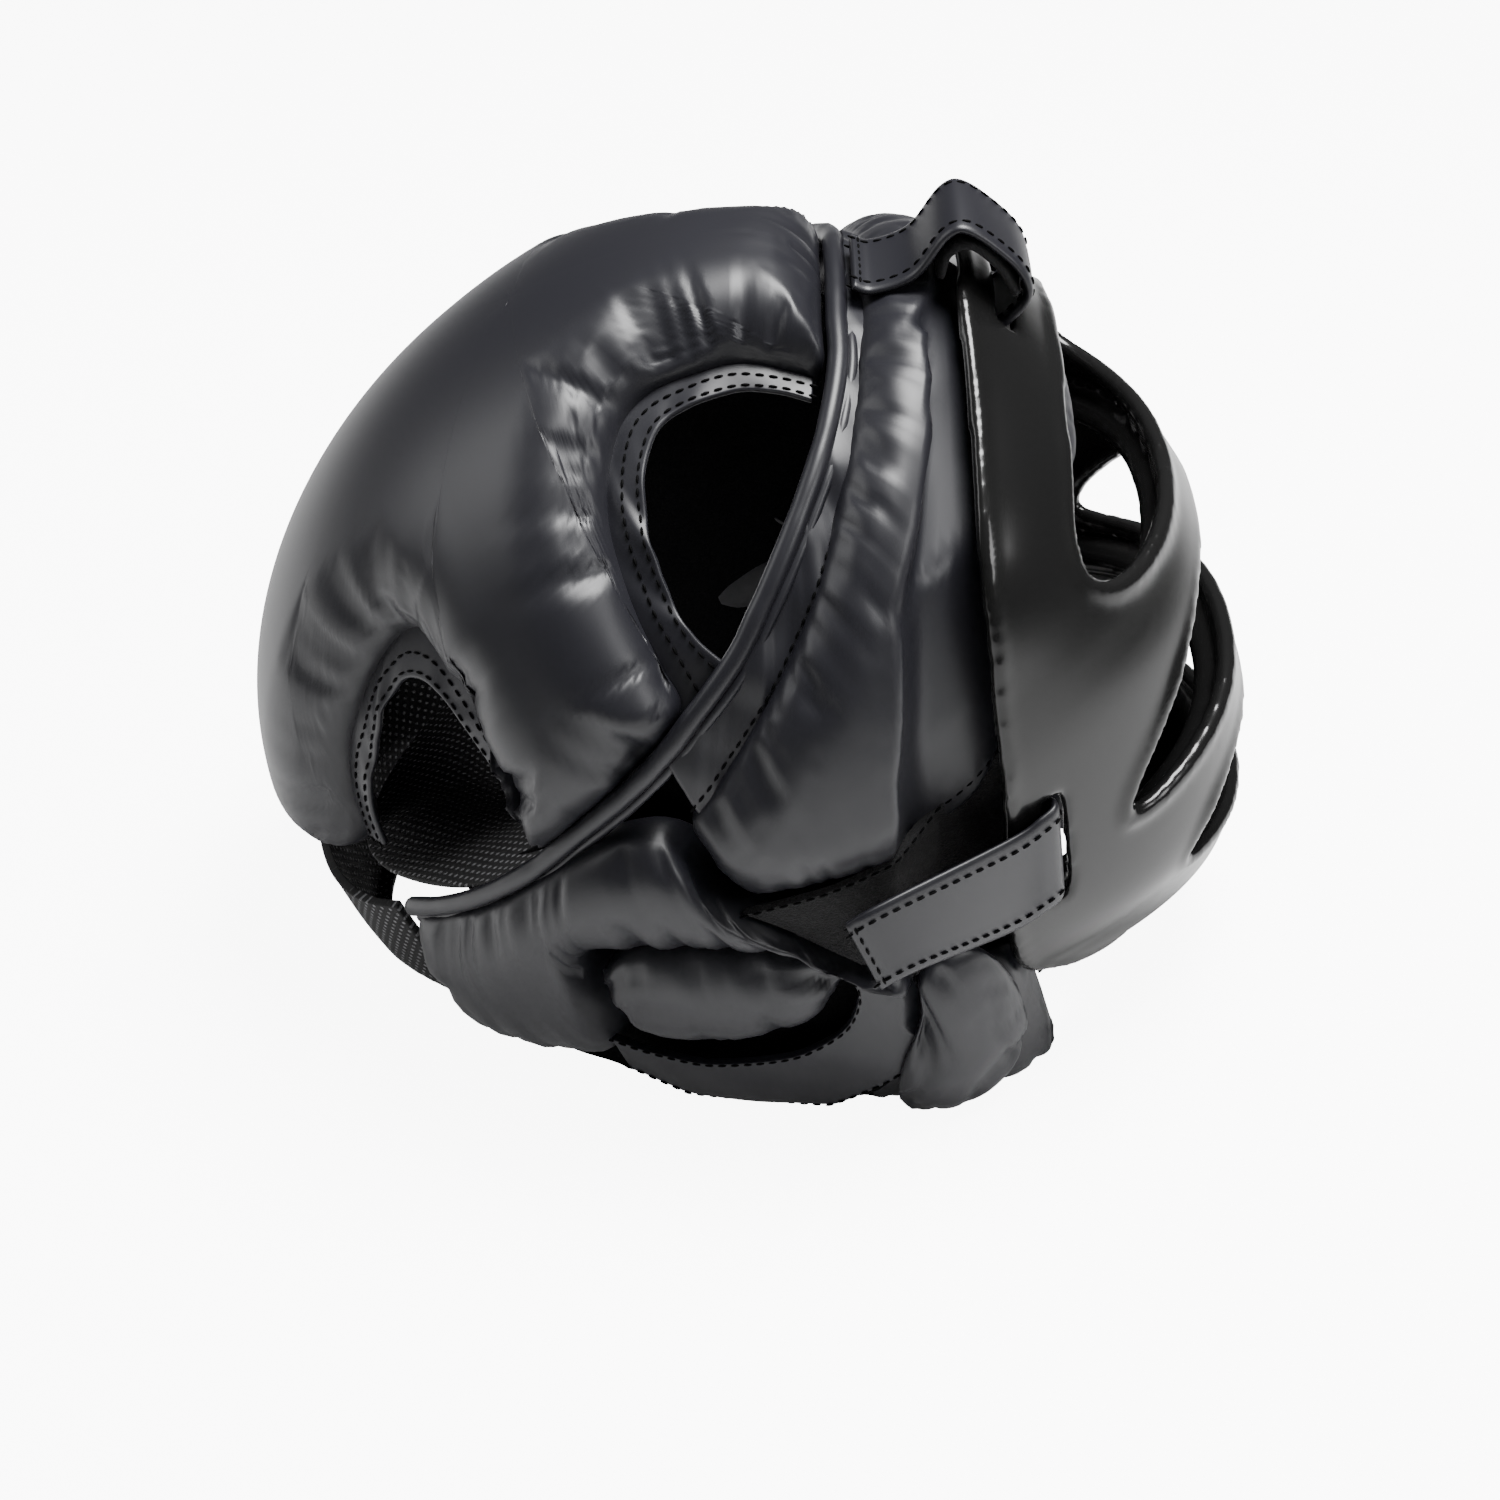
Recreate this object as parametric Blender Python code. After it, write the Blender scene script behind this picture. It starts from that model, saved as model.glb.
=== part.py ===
"""Sparring headgear with a moulded face shield, standing on its neck rim.

The padded shell follows one head form. A place on the form is an azimuth, from the brow (0)
round the ear (90) to the nape (180), and a latitude in degrees: above 0 the form is an
ellipsoid, below 0 it is a neck that tapers with the same arc length for each degree.
The shield follows rings of its own, in a frame tilted a little less than the head form.
+X is forward, +Y is the wearer's left, +Z is up, metres.
"""
import math

import bmesh
import bpy
import numpy as np
from mathutils import Vector

# Head form
FORM_FRONT = 0.114
FORM_BACK = 0.143
FORM_SIDE = 0.113
FORM_TOP = 0.110
FORM_PITCH = math.radians(32.0)
FORM_HEIGHT = 0.098
NECK_TAPER = 0.12
NECK_LEAN = 0.15
CHIN_LEAN = 0.17
NECK_LENGTH = 0.125

# Padding
PAD_THICK = 0.024
PAD_PUFF = 0.024
SEAM_DEPTH = 0.012
BAND_DEPTH = 0.016
LEATHER = 0.0022
CHEEK_THICK = 0.0085
SEAM_GAP = 0.0006
LAYER_GAP = 0.0014
PRESS_GAP = 0.0055
PRESS_FADE = 0.28
PRESS_LOWEST = -0.85
PRESS_END = 1.16
PRESS_END_FADE = 0.1
REST_SHARE = 0.25

# Trim
PIPING_RADIUS = 0.0024
PIPING_SINK = 0.7
FRONT_HOLE_SETBACK = 0.2
REAR_HOLE_SETBACK = 0.12
STRIP_LAP = 0.0013
STRIP_REACH = 0.92
PATCH_THICK = 0.0016
FLAP_THICK = 0.0026

# Shield
SHIELD_PITCH = math.radians(24.0)
SHIELD_THICK = 0.004
SHIELD_REACH = 0.1245
SHIELD_HALF_WIDTH = 0.100
SHIELD_UP = 0.071
SHIELD_DOWN = 0.136
SHIELD_SQUARE = 2.3
BAR_DEPTH = 0.0125
BAR_HEIGHT = 0.0095
UPPER_BAR_DROP = 0.013
LOWER_BAR_DROP = 0.067
UPPER_BAR_SPREAD = 1.0
LOWER_BAR_SPREAD = 1.05
SLOT_LENGTH = 0.034
SLOT_WIDTH = 0.006
SLOT_INSET = 0.012
SLOT_CUT = 0.012
SIDE_SLOT_TOP = 0.032
BROW_SLOT_DROP = 0.012
BROW_SLOT_RISE = 0.45
CUTTER_SPAN = (0.16, 1.3)

# Straps
STRAP_WIDTH = 0.029
STRAP_THICK = 0.0022
STRAP_GAP = 0.0016
STRAP_LOOP_RISE = 0.024
SLOT_ROOM = 0.004
CHIN_STRAP_DEPTH = 0.006
CHIN_STRAP_ROOM = 0.0105

# Shield rings, top to bottom: height over the shield frame's centre as a share of SHIELD_UP
# (above) or SHIELD_DOWN (below), reach as a share of SHIELD_REACH, half width as a share of
# SHIELD_HALF_WIDTH, and the rear edge's place as a share of the ring's reach.
SHIELD_RINGS = (
    (1.000, 0.765, 0.62, 0.985),
    (0.860, 0.803, 0.76, 0.910),
    (0.500, 0.884, 1.06, 0.740),
    (0.000, 0.972, 1.06, 0.580),
    (-0.225, 1.000, 1.02, 0.490),
    (-0.580, 0.945, 0.90, 0.385),
    (-0.730, 0.878, 0.76, 0.450),
    (-0.870, 0.795, 0.55, 0.590),
    (-0.975, 0.655, 0.33, 0.850),
    (-1.000, 0.620, 0.26, 0.960),
)

# Shield openings: each point is its distance from the midline as a share of
# SHIELD_HALF_WIDTH, and its height as in SHIELD_RINGS.
EYE_OPENING = ((0.0, 0.60), (0.32, 0.55), (0.56, 0.38), (0.655, 0.18), (0.60, 0.03),
               (0.42, -0.020), (0.0, -0.045))
NOSE_OPENING = ((0.0, -0.150), (0.32, -0.158), (0.55, -0.215), (0.70, -0.310),
                (0.745, -0.390), (0.70, -0.430), (0.50, -0.440), (0.0, -0.445))
MOUTH_OPENING = ((0.0, -0.535), (0.32, -0.540), (0.49, -0.575), (0.56, -0.640),
                 (0.50, -0.695), (0.30, -0.730), (0.0, -0.750))

# Crown pad outline on the wearer's right, brow to nape: azimuth, latitude.
CROWN_EDGE = ((0, 47), (14, 46), (27, 43), (29, 46), (32, 54), (40, 59), (53, 63), (67, 62),
              (78, 56), (84, 48), (86.5, 36), (87, 27), (88, 20), (98, 15), (108, 11),
              (109.5, 14), (111, 20), (113, 27), (116, 35), (122, 43), (130, 45), (137, 41),
              (143, 34), (147.5, 26), (150, 17), (153, 8), (166, 5), (180, 4))

# Seam line of the crown pad's leg ends, where the piping runs: azimuth, latitude.
PIPING_LINE = ((0, 45.6), (14, 44.6), (26, 41.7), (37, 38.7), (50, 34.5), (59, 31), (68, 27),
               (76, 23), (87, 18.6), (97, 13.9), (107, 9.9), (116, 6), (128, 2.4), (142, -0.6))

# Leather borders of the crown holes on the wearer's right. Each row is one section:
# azimuth and latitude at the crown pad's seam, then at the hole.
FRONT_HOLE_ROWS = ((28.5, 44, 33, 42.5), (30.5, 50, 35, 48), (35, 56.5, 39, 53),
                   (45, 61, 47, 56.5), (56, 63.5, 56, 58.5), (67, 62.5, 65, 57),
                   (77, 57, 73, 52), (83, 48.5, 78, 44.5), (85.7, 37, 80.5, 35.5),
                   (86.3, 28, 80.5, 28.5), (87, 20.5, 79, 23))
REAR_HOLE_ROWS = ((109.5, 13.5, 113.5, 13), (111.5, 20, 115, 19.5), (113.5, 27, 117, 26),
                  (116.8, 35, 120, 32.5), (122.5, 42.3, 124.5, 37.5), (130, 44.3, 130, 38.8),
                  (136.5, 40.5, 134.5, 36), (142.5, 33.5, 138.5, 30), (147, 25.5, 142, 23.5),
                  (149.5, 17, 144, 16.5), (152, 9, 146, 9))

# Ruled pads and panels on the wearer's right. Each row is one section:
# azimuth and latitude of its upper end, then of its lower end.
FOREHEAD_ROWS = ((0, 41.5, 0, 4), (18, 39.6, 18, 2.5), (33, 35.8, 33, -1), (45, 31.3, 46, -8),
                 (56, 25.8, 57, -15.5), (69, 18.4, 70, -15.5), (80, 12.6, 81, -12.6),
                 (95.2, 4.4, 93.7, -8.4))
SIDE_ROWS = ((143, -2.6, 143, -22), (130, -0.2, 131, -24.5), (121, 2.4, 120, -27),
             (112, 5.4, 115, -9), (104, 7.2, 105, -11), (97.6, 4.4, 98, -15),
             (96, -5, 91, -20), (91, -15, 86, -26.5), (84, -28.2, 80, -33),
             (70, -36.5, 68, -41.5))
EAR_ROWS = ((114.2, -11, 115.4, -17), (110, -10.6, 112, -24), (104, -11.7, 105, -29),
            (97.4, -15.8, 98, -31), (91, -20.6, 92, -31.5), (87.2, -25.8, 88, -30))
EAR_BAND_ROWS = ((85.5, -27.9, 78.1, -34.75), (86.4, -33, 79.2, -43), (92, -37.5, 86, -48),
                 (101, -36.8, 98, -48.5), (109, -33, 108.5, -43), (118.6, -25.6, 119, -31))
CHEEK_ROWS = ((87, -49.6, 89, -53.5), (79, -44.4, 83, -57.5), (77.2, -38.2, 74.5, -58.5),
              (73.5, -38.9, 68.5, -55), (69.5, -41.6, 66, -48))
JAW_ROWS = ((95, -50, 95, -54), (88, -48, 90, -60), (80, -44.5, 82, -65), (69, -42.4, 71, -69.5),
            (61, -45, 61, -70), (56.5, -50, 56.5, -65))
# Chin pad, with its heights as shares of the shield's drop.
CHIN_ROWS = ((0, 0.819, 0, 1.059), (18, 0.819, 19, 1.052), (36, 0.798, 38, 1.016),
             (53.8, 0.762, 54, 0.918))
PATCH_ROWS = ((93.2, -10.2, 83.8, -25.6), (82, -13.5, 75.4, -31.1), (70.5, -16.6, 69, -35.1),
              (58.4, -17, 62.5, -38))
FLAP_ROWS = ((-142.3, -3, -142.3, -25), (-160, -1, -160, -21), (-180, 0, -180, -19),
             (-195, -1, -195, -20), (-204, -3, -203, -22))

# Side strap over the temple patch: azimuth, then the latitudes of its two edges.
STRAP_ENDS = ((82, -15, -28), (77, -15.2, -28.4))

# Chin strap: half its spread in azimuth, then the latitudes of its two edges.
CHIN_STRAP_SPREAD = 46
CHIN_STRAP_EDGES = (0.819, 0.960)

# Latitudes where the centre strap leaves the brow seam.
TOP_STRAP_START = (44, 40)

# Centre strap's route on the midline, in the shield frame: forward place and height, as
# offsets from the brow edge in shares of STRAP_LOOP_RISE.
TOP_STRAP_ROUTE = ((-0.53, 0.44), (-0.06, 0.64), (0.18, 0.57), (0.40, 0.08))


def clear_scene():
    for item in list(bpy.data.objects):
        bpy.data.objects.remove(item, do_unlink=True)


def material(name, colour, roughness, metallic=0.0):
    """One Principled material, made once for each name."""
    found = bpy.data.materials.get(name)
    if found:
        return found
    made = bpy.data.materials.new(name)
    made.use_nodes = True
    shader = made.node_tree.nodes["Principled BSDF"]
    shader.inputs["Base Color"].default_value = (*colour, 1.0)
    shader.inputs["Roughness"].default_value = roughness
    shader.inputs["Metallic"].default_value = metallic
    return made


def leather():
    return material("black_leather", (0.012, 0.012, 0.014), 0.42)


def plastic():
    return material("black_plastic", (0.008, 0.008, 0.009), 0.12)


def mesh_cloth():
    return material("mesh_lining", (0.010, 0.010, 0.011), 0.85)


def loop_cloth():
    return material("loop_pile", (0.009, 0.009, 0.010), 0.95)


def turn(points, pitch):
    """Turns points about +Y so that the forward axis rises by the pitch."""
    points = np.asarray(points, float)
    forward, side, up = points[..., 0], points[..., 1], points[..., 2]
    return np.stack((forward * math.cos(pitch) - up * math.sin(pitch), side,
                     forward * math.sin(pitch) + up * math.cos(pitch)), -1)


def on_form(azimuth, latitude, lift=0.0):
    """Places on the head form, lifted off it, as it stands. The wearer's right is -Y."""
    turned, rise = np.radians(azimuth), np.asarray(latitude, float)
    front = np.where(np.cos(turned) >= 0, FORM_FRONT, FORM_BACK) + lift
    above = np.radians(np.clip(rise, 0, 90))
    below = np.minimum(rise, 0) * FORM_TOP * math.pi / 180
    ring = np.where(rise >= 0, np.cos(above), 1 - NECK_TAPER * (below / NECK_LENGTH) ** 2)
    lean = NECK_LEAN + CHIN_LEAN * np.maximum(np.cos(turned), 0) ** 2
    height = np.where(rise >= 0, (FORM_TOP + lift) * np.sin(above), below)
    local = np.stack((front * ring * np.cos(turned) + lean * below,
                      -(FORM_SIDE + lift) * ring * np.sin(turned), height), -1)
    return turn(local, FORM_PITCH) + (0, 0, FORM_HEIGHT)


def smooth_rows(rows, count):
    """Rows read at evenly spaced stations of a smooth curve through the given ones."""
    table = np.asarray(rows, float)
    last = len(table) - 1
    padded = np.vstack((2 * table[0] - table[1], table, 2 * table[-1] - table[-2]))
    places = []
    for station in np.linspace(0, last, count):
        index = min(int(station), last - 1)
        part = station - index
        before, start, end, after = padded[index:index + 4]
        places.append(0.5 * (2 * start + (end - before) * part
                             + (2 * before - 5 * start + 4 * end - after) * part ** 2
                             + (3 * start - before - 3 * end + after) * part ** 3))
    return np.array(places)


def shield_ring(height):
    """Reach, half width and rear edge of the shield's ring at a height share."""
    shares = np.array(SHIELD_RINGS)[::-1]
    reach = np.interp(height, shares[:, 0], shares[:, 1]) * SHIELD_REACH
    width = np.interp(height, shares[:, 0], shares[:, 2]) * SHIELD_HALF_WIDTH
    return reach, width, np.interp(height, shares[:, 0], shares[:, 3]) * reach


def shield_height(share):
    share = np.asarray(share, float)
    return np.where(share >= 0, share * SHIELD_UP, share * SHIELD_DOWN)


def place_shield(local):
    """Shield frame to the standing part's frame."""
    return turn(local, SHIELD_PITCH) + (0, 0, FORM_HEIGHT)


def chin_latitude(share):
    """Latitude at a share of the shield's drop, so that the chin's pieces keep to the shield."""
    return -np.asarray(share, float) * SHIELD_DOWN / (FORM_TOP * math.pi / 180)


def chin_rows():
    """Rows of the chin pad with their heights as latitudes."""
    rows = np.array(CHIN_ROWS, float)
    rows[:, 1::2] = chin_latitude(rows[:, 1::2])
    return rows


def press(points, below=0.0):
    """Moves pad points inward until they clear the inside of the shield by a depth."""
    points = np.asarray(points, float)
    local = turn(points - (0, 0, FORM_HEIGHT), -SHIELD_PITCH)
    up = local[..., 2]
    share = np.where(up >= 0, up / SHIELD_UP, up / SHIELD_DOWN)
    reach, width, rear = shield_ring(np.clip(share, PRESS_LOWEST, 1))
    inset = SHIELD_THICK + PRESS_GAP + below
    ahead = np.maximum(local[..., 0], 0) ** (SHIELD_SQUARE / 2)
    aside = np.abs(local[..., 1]) ** (SHIELD_SQUARE / 2)
    ratio = np.hypot(ahead / (reach - inset) ** (SHIELD_SQUARE / 2),
                     aside / (width - inset) ** (SHIELD_SQUARE / 2)) ** (2 / SHIELD_SQUARE)
    angle = np.arctan2(aside / width ** (SHIELD_SQUARE / 2), ahead / reach ** (SHIELD_SQUARE / 2))
    edge = np.arccos(np.minimum(rear / reach, 1) ** (SHIELD_SQUARE / 2))
    near = np.clip((edge + PRESS_FADE - angle) / (PRESS_FADE / 2), 0, 1)
    near = near * np.clip((PRESS_END - np.abs(share)) / PRESS_END_FADE, 0, 1)
    factor = 1 - near * (1 - 1 / np.maximum(ratio, 1))
    local[..., 0] *= factor
    local[..., 1] *= factor
    return turn(local, SHIELD_PITCH) + (0, 0, FORM_HEIGHT)


def rest(points, floor=0.0):
    """Flattens what would pass through the surface that the headgear stands on."""
    points = np.array(points, float)
    points[..., 2] = np.maximum(points[..., 2], floor)
    return points


def add_object(name, mesh, finish, smooth=35):
    obj = bpy.data.objects.new(name, mesh)
    bpy.context.scene.collection.objects.link(obj)
    mesh.materials.append(finish)
    mesh.shade_smooth()
    mesh.set_sharp_from_angle(angle=math.radians(smooth))
    return obj


def outward_mesh(name, bm):
    """Mesh of a closed shape with its faces pointing out."""
    bmesh.ops.recalc_face_normals(bm, faces=bm.faces)
    mesh = bpy.data.meshes.new(name)
    bm.to_mesh(mesh)
    bm.free()
    return mesh


def add_loops(bm, loops):
    """Vertices for each row of places."""
    return [[bm.verts.new(Vector(place)) for place in row] for row in loops]


def shell_mesh(name, outer, inner):
    """Closed solid between two grids of points, with its four rims joined."""
    rows, columns = outer.shape[:2]
    bm = bmesh.new()
    top, bottom = add_loops(bm, outer), add_loops(bm, inner)
    for skin in (top, bottom):
        for i in range(rows - 1):
            for j in range(columns - 1):
                bm.faces.new((skin[i][j], skin[i + 1][j], skin[i + 1][j + 1], skin[i][j + 1]))
    for i in range(rows - 1):
        for j in (0, -1):
            bm.faces.new((top[i][j], top[i + 1][j], bottom[i + 1][j], bottom[i][j]))
    for j in range(columns - 1):
        for i in (0, -1):
            bm.faces.new((top[i][j], top[i][j + 1], bottom[i][j + 1], bottom[i][j]))
    return outward_mesh(name, bm)


def polar_shell(name, outer, inner):
    """Closed solid from two grids that wrap in rows and close at their first column."""
    rows, columns = outer.shape[:2]
    bm = bmesh.new()
    top, bottom = add_loops(bm, outer), add_loops(bm, inner)
    for i in range(rows):
        k = (i + 1) % rows
        for skin in (top, bottom):
            for j in range(columns - 1):
                bm.faces.new((skin[i][j], skin[k][j], skin[k][j + 1], skin[i][j + 1]))
        bm.faces.new((top[i][-1], top[k][-1], bottom[k][-1], bottom[i][-1]))
    for skin in (top, bottom):
        bm.faces.new([row[0] for row in skin])
    return outward_mesh(name, bm)


def prism_mesh(name, loops):
    """Closed solid through rings of points, with its two ends capped."""
    bm = bmesh.new()
    rings = add_loops(bm, loops)
    for here, after in zip(rings, rings[1:]):
        for i in range(len(here)):
            k = (i + 1) % len(here)
            bm.faces.new((here[i], here[k], after[k], after[i]))
    bm.faces.new(rings[0])
    bm.faces.new(rings[-1])
    return outward_mesh(name, bm)


def inward(points, depth):
    """Points moved toward the head form's vertical axis by a depth that may vary."""
    axis = turn(np.array([0.0, 0.0, 1.0]), FORM_PITCH)
    centre = np.array((0, 0, FORM_HEIGHT))
    along = np.minimum((points - centre) @ axis, 0)[..., None] * axis
    away = points - centre - along
    size = np.linalg.norm(away, axis=-1, keepdims=True)
    return points - away / size * np.asarray(depth)[..., None]


def puff(distance, width, edge_depth):
    """Depth of a pad's outer skin under its crest, quarter round from its seam."""
    share = np.clip(distance / width, 0, 1)
    return edge_depth * (1 - np.sqrt(np.maximum(1 - (1 - share) ** 2, 0)))


def ruled_pad(name, rows, side, finish, thick, edge_depth, lift=0.0, stations=16, across=7,
              mirrored_end=False, pressed=True):
    """A padded patch ruled between two lines on the form, thinner toward its seams."""
    table = np.asarray(rows, float)
    if mirrored_end:
        flipped = table[:0:-1] * (-1, 1, -1, 1)
        table = np.vstack((flipped, table))
    table = smooth_rows(table, stations)
    share = (1 - np.cos(np.linspace(0, math.pi, across))) / 2
    azimuth = table[:, 0:1] * (1 - share) + table[:, 2:3] * share
    latitude = table[:, 1:2] * (1 - share) + table[:, 3:4] * share
    crest = on_form(azimuth * side, latitude, lift)
    span = np.linalg.norm(crest[:, -1] - crest[:, 0], axis=-1)[:, None]
    to_seam = np.minimum(share, 1 - share) * span
    steps = np.linalg.norm(np.diff(crest[:, across // 2], axis=0), axis=-1)
    run = np.concatenate(([0], np.cumsum(steps)))
    to_end = np.minimum(run, run[-1] - run)[:, None] + 0 * share
    reach = min(PAD_PUFF, float(np.median(span)) / 2)
    edge = np.minimum(to_seam, to_end)
    depth = puff(edge, reach, edge_depth)
    outer = inward(crest, depth)
    inner = inward(crest, np.full_like(depth, thick))
    if pressed:
        outer, inner = press(outer, -lift), press(inner, thick - lift)
    outer, inner = rest(outer), rest(inner, thick * REST_SHARE)
    return add_object(name, shell_mesh(name, outer, inner), finish)


def narrowed(rows, setback):
    """A hole border's sections, each drawn back from the crown pad's seam by a share."""
    table = np.asarray(rows, float)
    upper, lower = table[:, :2], table[:, 2:]
    return np.hstack((upper + (lower - upper) * setback, lower))


def closed_line(edge):
    """The right-hand outline and its mirror as one closed ring of azimuth and latitude."""
    right = np.asarray(edge, float)
    left = right[-2:0:-1] * (-1, 1)
    return np.vstack((right, left))


def crown_pad():
    """The cross-shaped crown pad, four legs round the pole of the form."""
    ring = closed_line(CROWN_EDGE)
    shares = np.array([0.02, 0.22, 0.42, 0.60, 0.76, 0.88, 0.96, 1.0])
    colatitude = (90 - ring[:, 1])[:, None] * shares
    azimuth = ring[:, 0][:, None] + 0 * shares
    crest = on_form(azimuth, 90 - colatitude)
    rim = crest[:, -1]
    gaps = np.linalg.norm(crest[:, :, None, :] - rim[None, None, :, :], axis=-1)
    depth = puff(gaps.min(axis=-1), PAD_PUFF, BAND_DEPTH)
    outer = press(inward(crest, depth))
    inner = inward(crest, np.full_like(depth, PAD_THICK))
    mesh = polar_shell("crown_pad", outer, inner)
    return add_object("crown_pad", mesh, leather())


def seam_strip():
    """Crumpled unpadded leather strip between the piping and the forehead pad."""
    below = np.asarray(FOREHEAD_ROWS, float)
    azimuth = np.linspace(-1, 1, 44) * below[-1, 0] * STRIP_REACH
    cord = np.asarray(PIPING_LINE, float)
    degree = FORM_TOP * math.pi / 180
    upper = np.interp(abs(azimuth), cord[:, 0], cord[:, 1]) - (PIPING_RADIUS + SEAM_GAP) / degree
    lower = np.interp(abs(azimuth), below[:, 0], below[:, 1]) + STRIP_LAP / degree
    top = on_form(np.stack((azimuth, azimuth), 1), np.stack((upper, lower), 1),
                  LEATHER - SEAM_DEPTH)
    under = inward(top, np.full(top.shape[:2], LEATHER))
    return add_object("seam_strip", shell_mesh("seam_strip", top, under), leather())


def closed_half(line):
    """A right-hand line continued over the midline to its mirror."""
    line = np.asarray(line, float)
    return np.vstack((line[:0:-1] * (-1, 1), line))


def piping():
    """Rolled leather cord sewn along the crown's lower edge."""
    line = smooth_rows(closed_half(PIPING_LINE), 56)
    depth = SEAM_DEPTH + (BAND_DEPTH - SEAM_DEPTH) * PIPING_SINK
    places = on_form(line[:, 0], line[:, 1], LEATHER / 2 - depth)
    curve = bpy.data.curves.new("piping", "CURVE")
    curve.dimensions = "3D"
    curve.bevel_depth = PIPING_RADIUS
    curve.bevel_resolution = 2
    curve.render_resolution_u = 0
    curve.use_fill_caps = True
    spline = curve.splines.new("POLY")
    spline.points.add(len(places) - 1)
    for point, place in zip(spline.points, places):
        point.co = (*place, 1.0)
    obj = bpy.data.objects.new("piping", curve)
    bpy.context.scene.collection.objects.link(obj)
    curve.materials.append(leather())
    return obj


def shield_grid(lift, columns=26, rows=18):
    """Grid on the shield's surface, lifted off it; rows run top to bottom."""
    shares = np.concatenate((np.linspace(1, 0, 7)[:-1], np.linspace(0, -1, rows - 6)))
    grid = []
    for share in shares:
        reach, width, rear = shield_ring(share)
        edge = math.acos(min(rear / reach, 1) ** (SHIELD_SQUARE / 2))
        turns = np.linspace(-edge, edge, columns)
        power = 2 / SHIELD_SQUARE
        forward = (reach + lift) * np.cos(turns) ** power
        sideways = (width + lift) * np.sign(turns) * np.abs(np.sin(turns)) ** power
        grid.append(np.stack((forward, -sideways, 0 * turns + shield_height(share)), -1))
    return place_shield(np.array(grid))


def opening_cutter(name, half_outline):
    """Prism through the shield along the shield frame's forward axis."""
    right = np.asarray(half_outline, float)
    line = smooth_rows(right, 13)
    whole = np.vstack((line, line[-2:0:-1] * (-1, 1)))
    width = whole[:, 0] * SHIELD_HALF_WIDTH
    height = shield_height(whole[:, 1])
    ends = [place_shield(np.stack((0 * width + forward * SHIELD_REACH, width, height), -1))
            for forward in CUTTER_SPAN]
    return guide(name, prism_mesh(name, ends))


def guide(name, mesh):
    cutter = bpy.data.objects.new(name, mesh)
    bpy.context.scene.collection.objects.link(cutter)
    cutter.hide_render = True
    cutter.display_type = "WIRE"
    return cutter


def bar_guide(name, drop, spread):
    """Rounded bar swept along the shield's ring at a drop under its centre."""
    share = -drop / SHIELD_DOWN
    reach, width, rear = shield_ring(share)
    power = 2 / SHIELD_SQUARE
    turns = np.linspace(-spread, spread, 20)
    section = np.linspace(0, 2 * math.pi, 6, endpoint=False)
    rings = []
    for angle in turns:
        out = np.array((math.cos(angle) ** power, math.copysign(abs(math.sin(angle)) ** power, angle)))
        forward = (reach - BAR_DEPTH / 2) * out[0] + BAR_DEPTH / 2 * np.cos(section) * out[0]
        sideways = (width - BAR_DEPTH / 2) * out[1] + BAR_DEPTH / 2 * np.cos(section) * out[1]
        height = -drop + BAR_HEIGHT / 2 * np.sin(section)
        rings.append(np.stack((forward, sideways, height), -1))
    return guide(name, prism_mesh(name, place_shield(np.array(rings))))


def slot_cutter(name, centre, along, out, length):
    """Box through the shield for one strap."""
    along = np.asarray(along) / np.linalg.norm(along)
    out = np.asarray(out) / np.linalg.norm(out)
    across = np.cross(out, along)
    ends = [[centre + (along * i * length + across * j * SLOT_WIDTH) / 2 + out * k * SLOT_CUT
             for i, j in ((-1, -1), (1, -1), (1, 1), (-1, 1))] for k in (-1, 1)]
    return guide(name, prism_mesh(name, ends))


def shield_spot(share, inset, side, lift=0.0):
    """A place on the shield's outer surface, set in from its rear edge along the ring."""
    reach, width, rear = shield_ring(share)
    edge = math.acos(min(rear / reach, 1) ** (SHIELD_SQUARE / 2))
    arc = (reach + width) / 2
    angle = edge - inset / arc
    power = 2 / SHIELD_SQUARE
    forward = (reach + lift) * math.cos(angle) ** power
    sideways = (width + lift) * abs(math.sin(angle)) ** power
    return place_shield(np.array((forward, -side * sideways, float(shield_height(share)))))


def side_slot_share(distance):
    """Height share of a place a distance down from the side slot's top."""
    return -(SIDE_SLOT_TOP + distance) / SHIELD_DOWN


def boolean(target, cutter, operation):
    change = target.modifiers.new(cutter.name, "BOOLEAN")
    change.operation = operation
    change.object = cutter
    change.solver = "EXACT"


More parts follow.
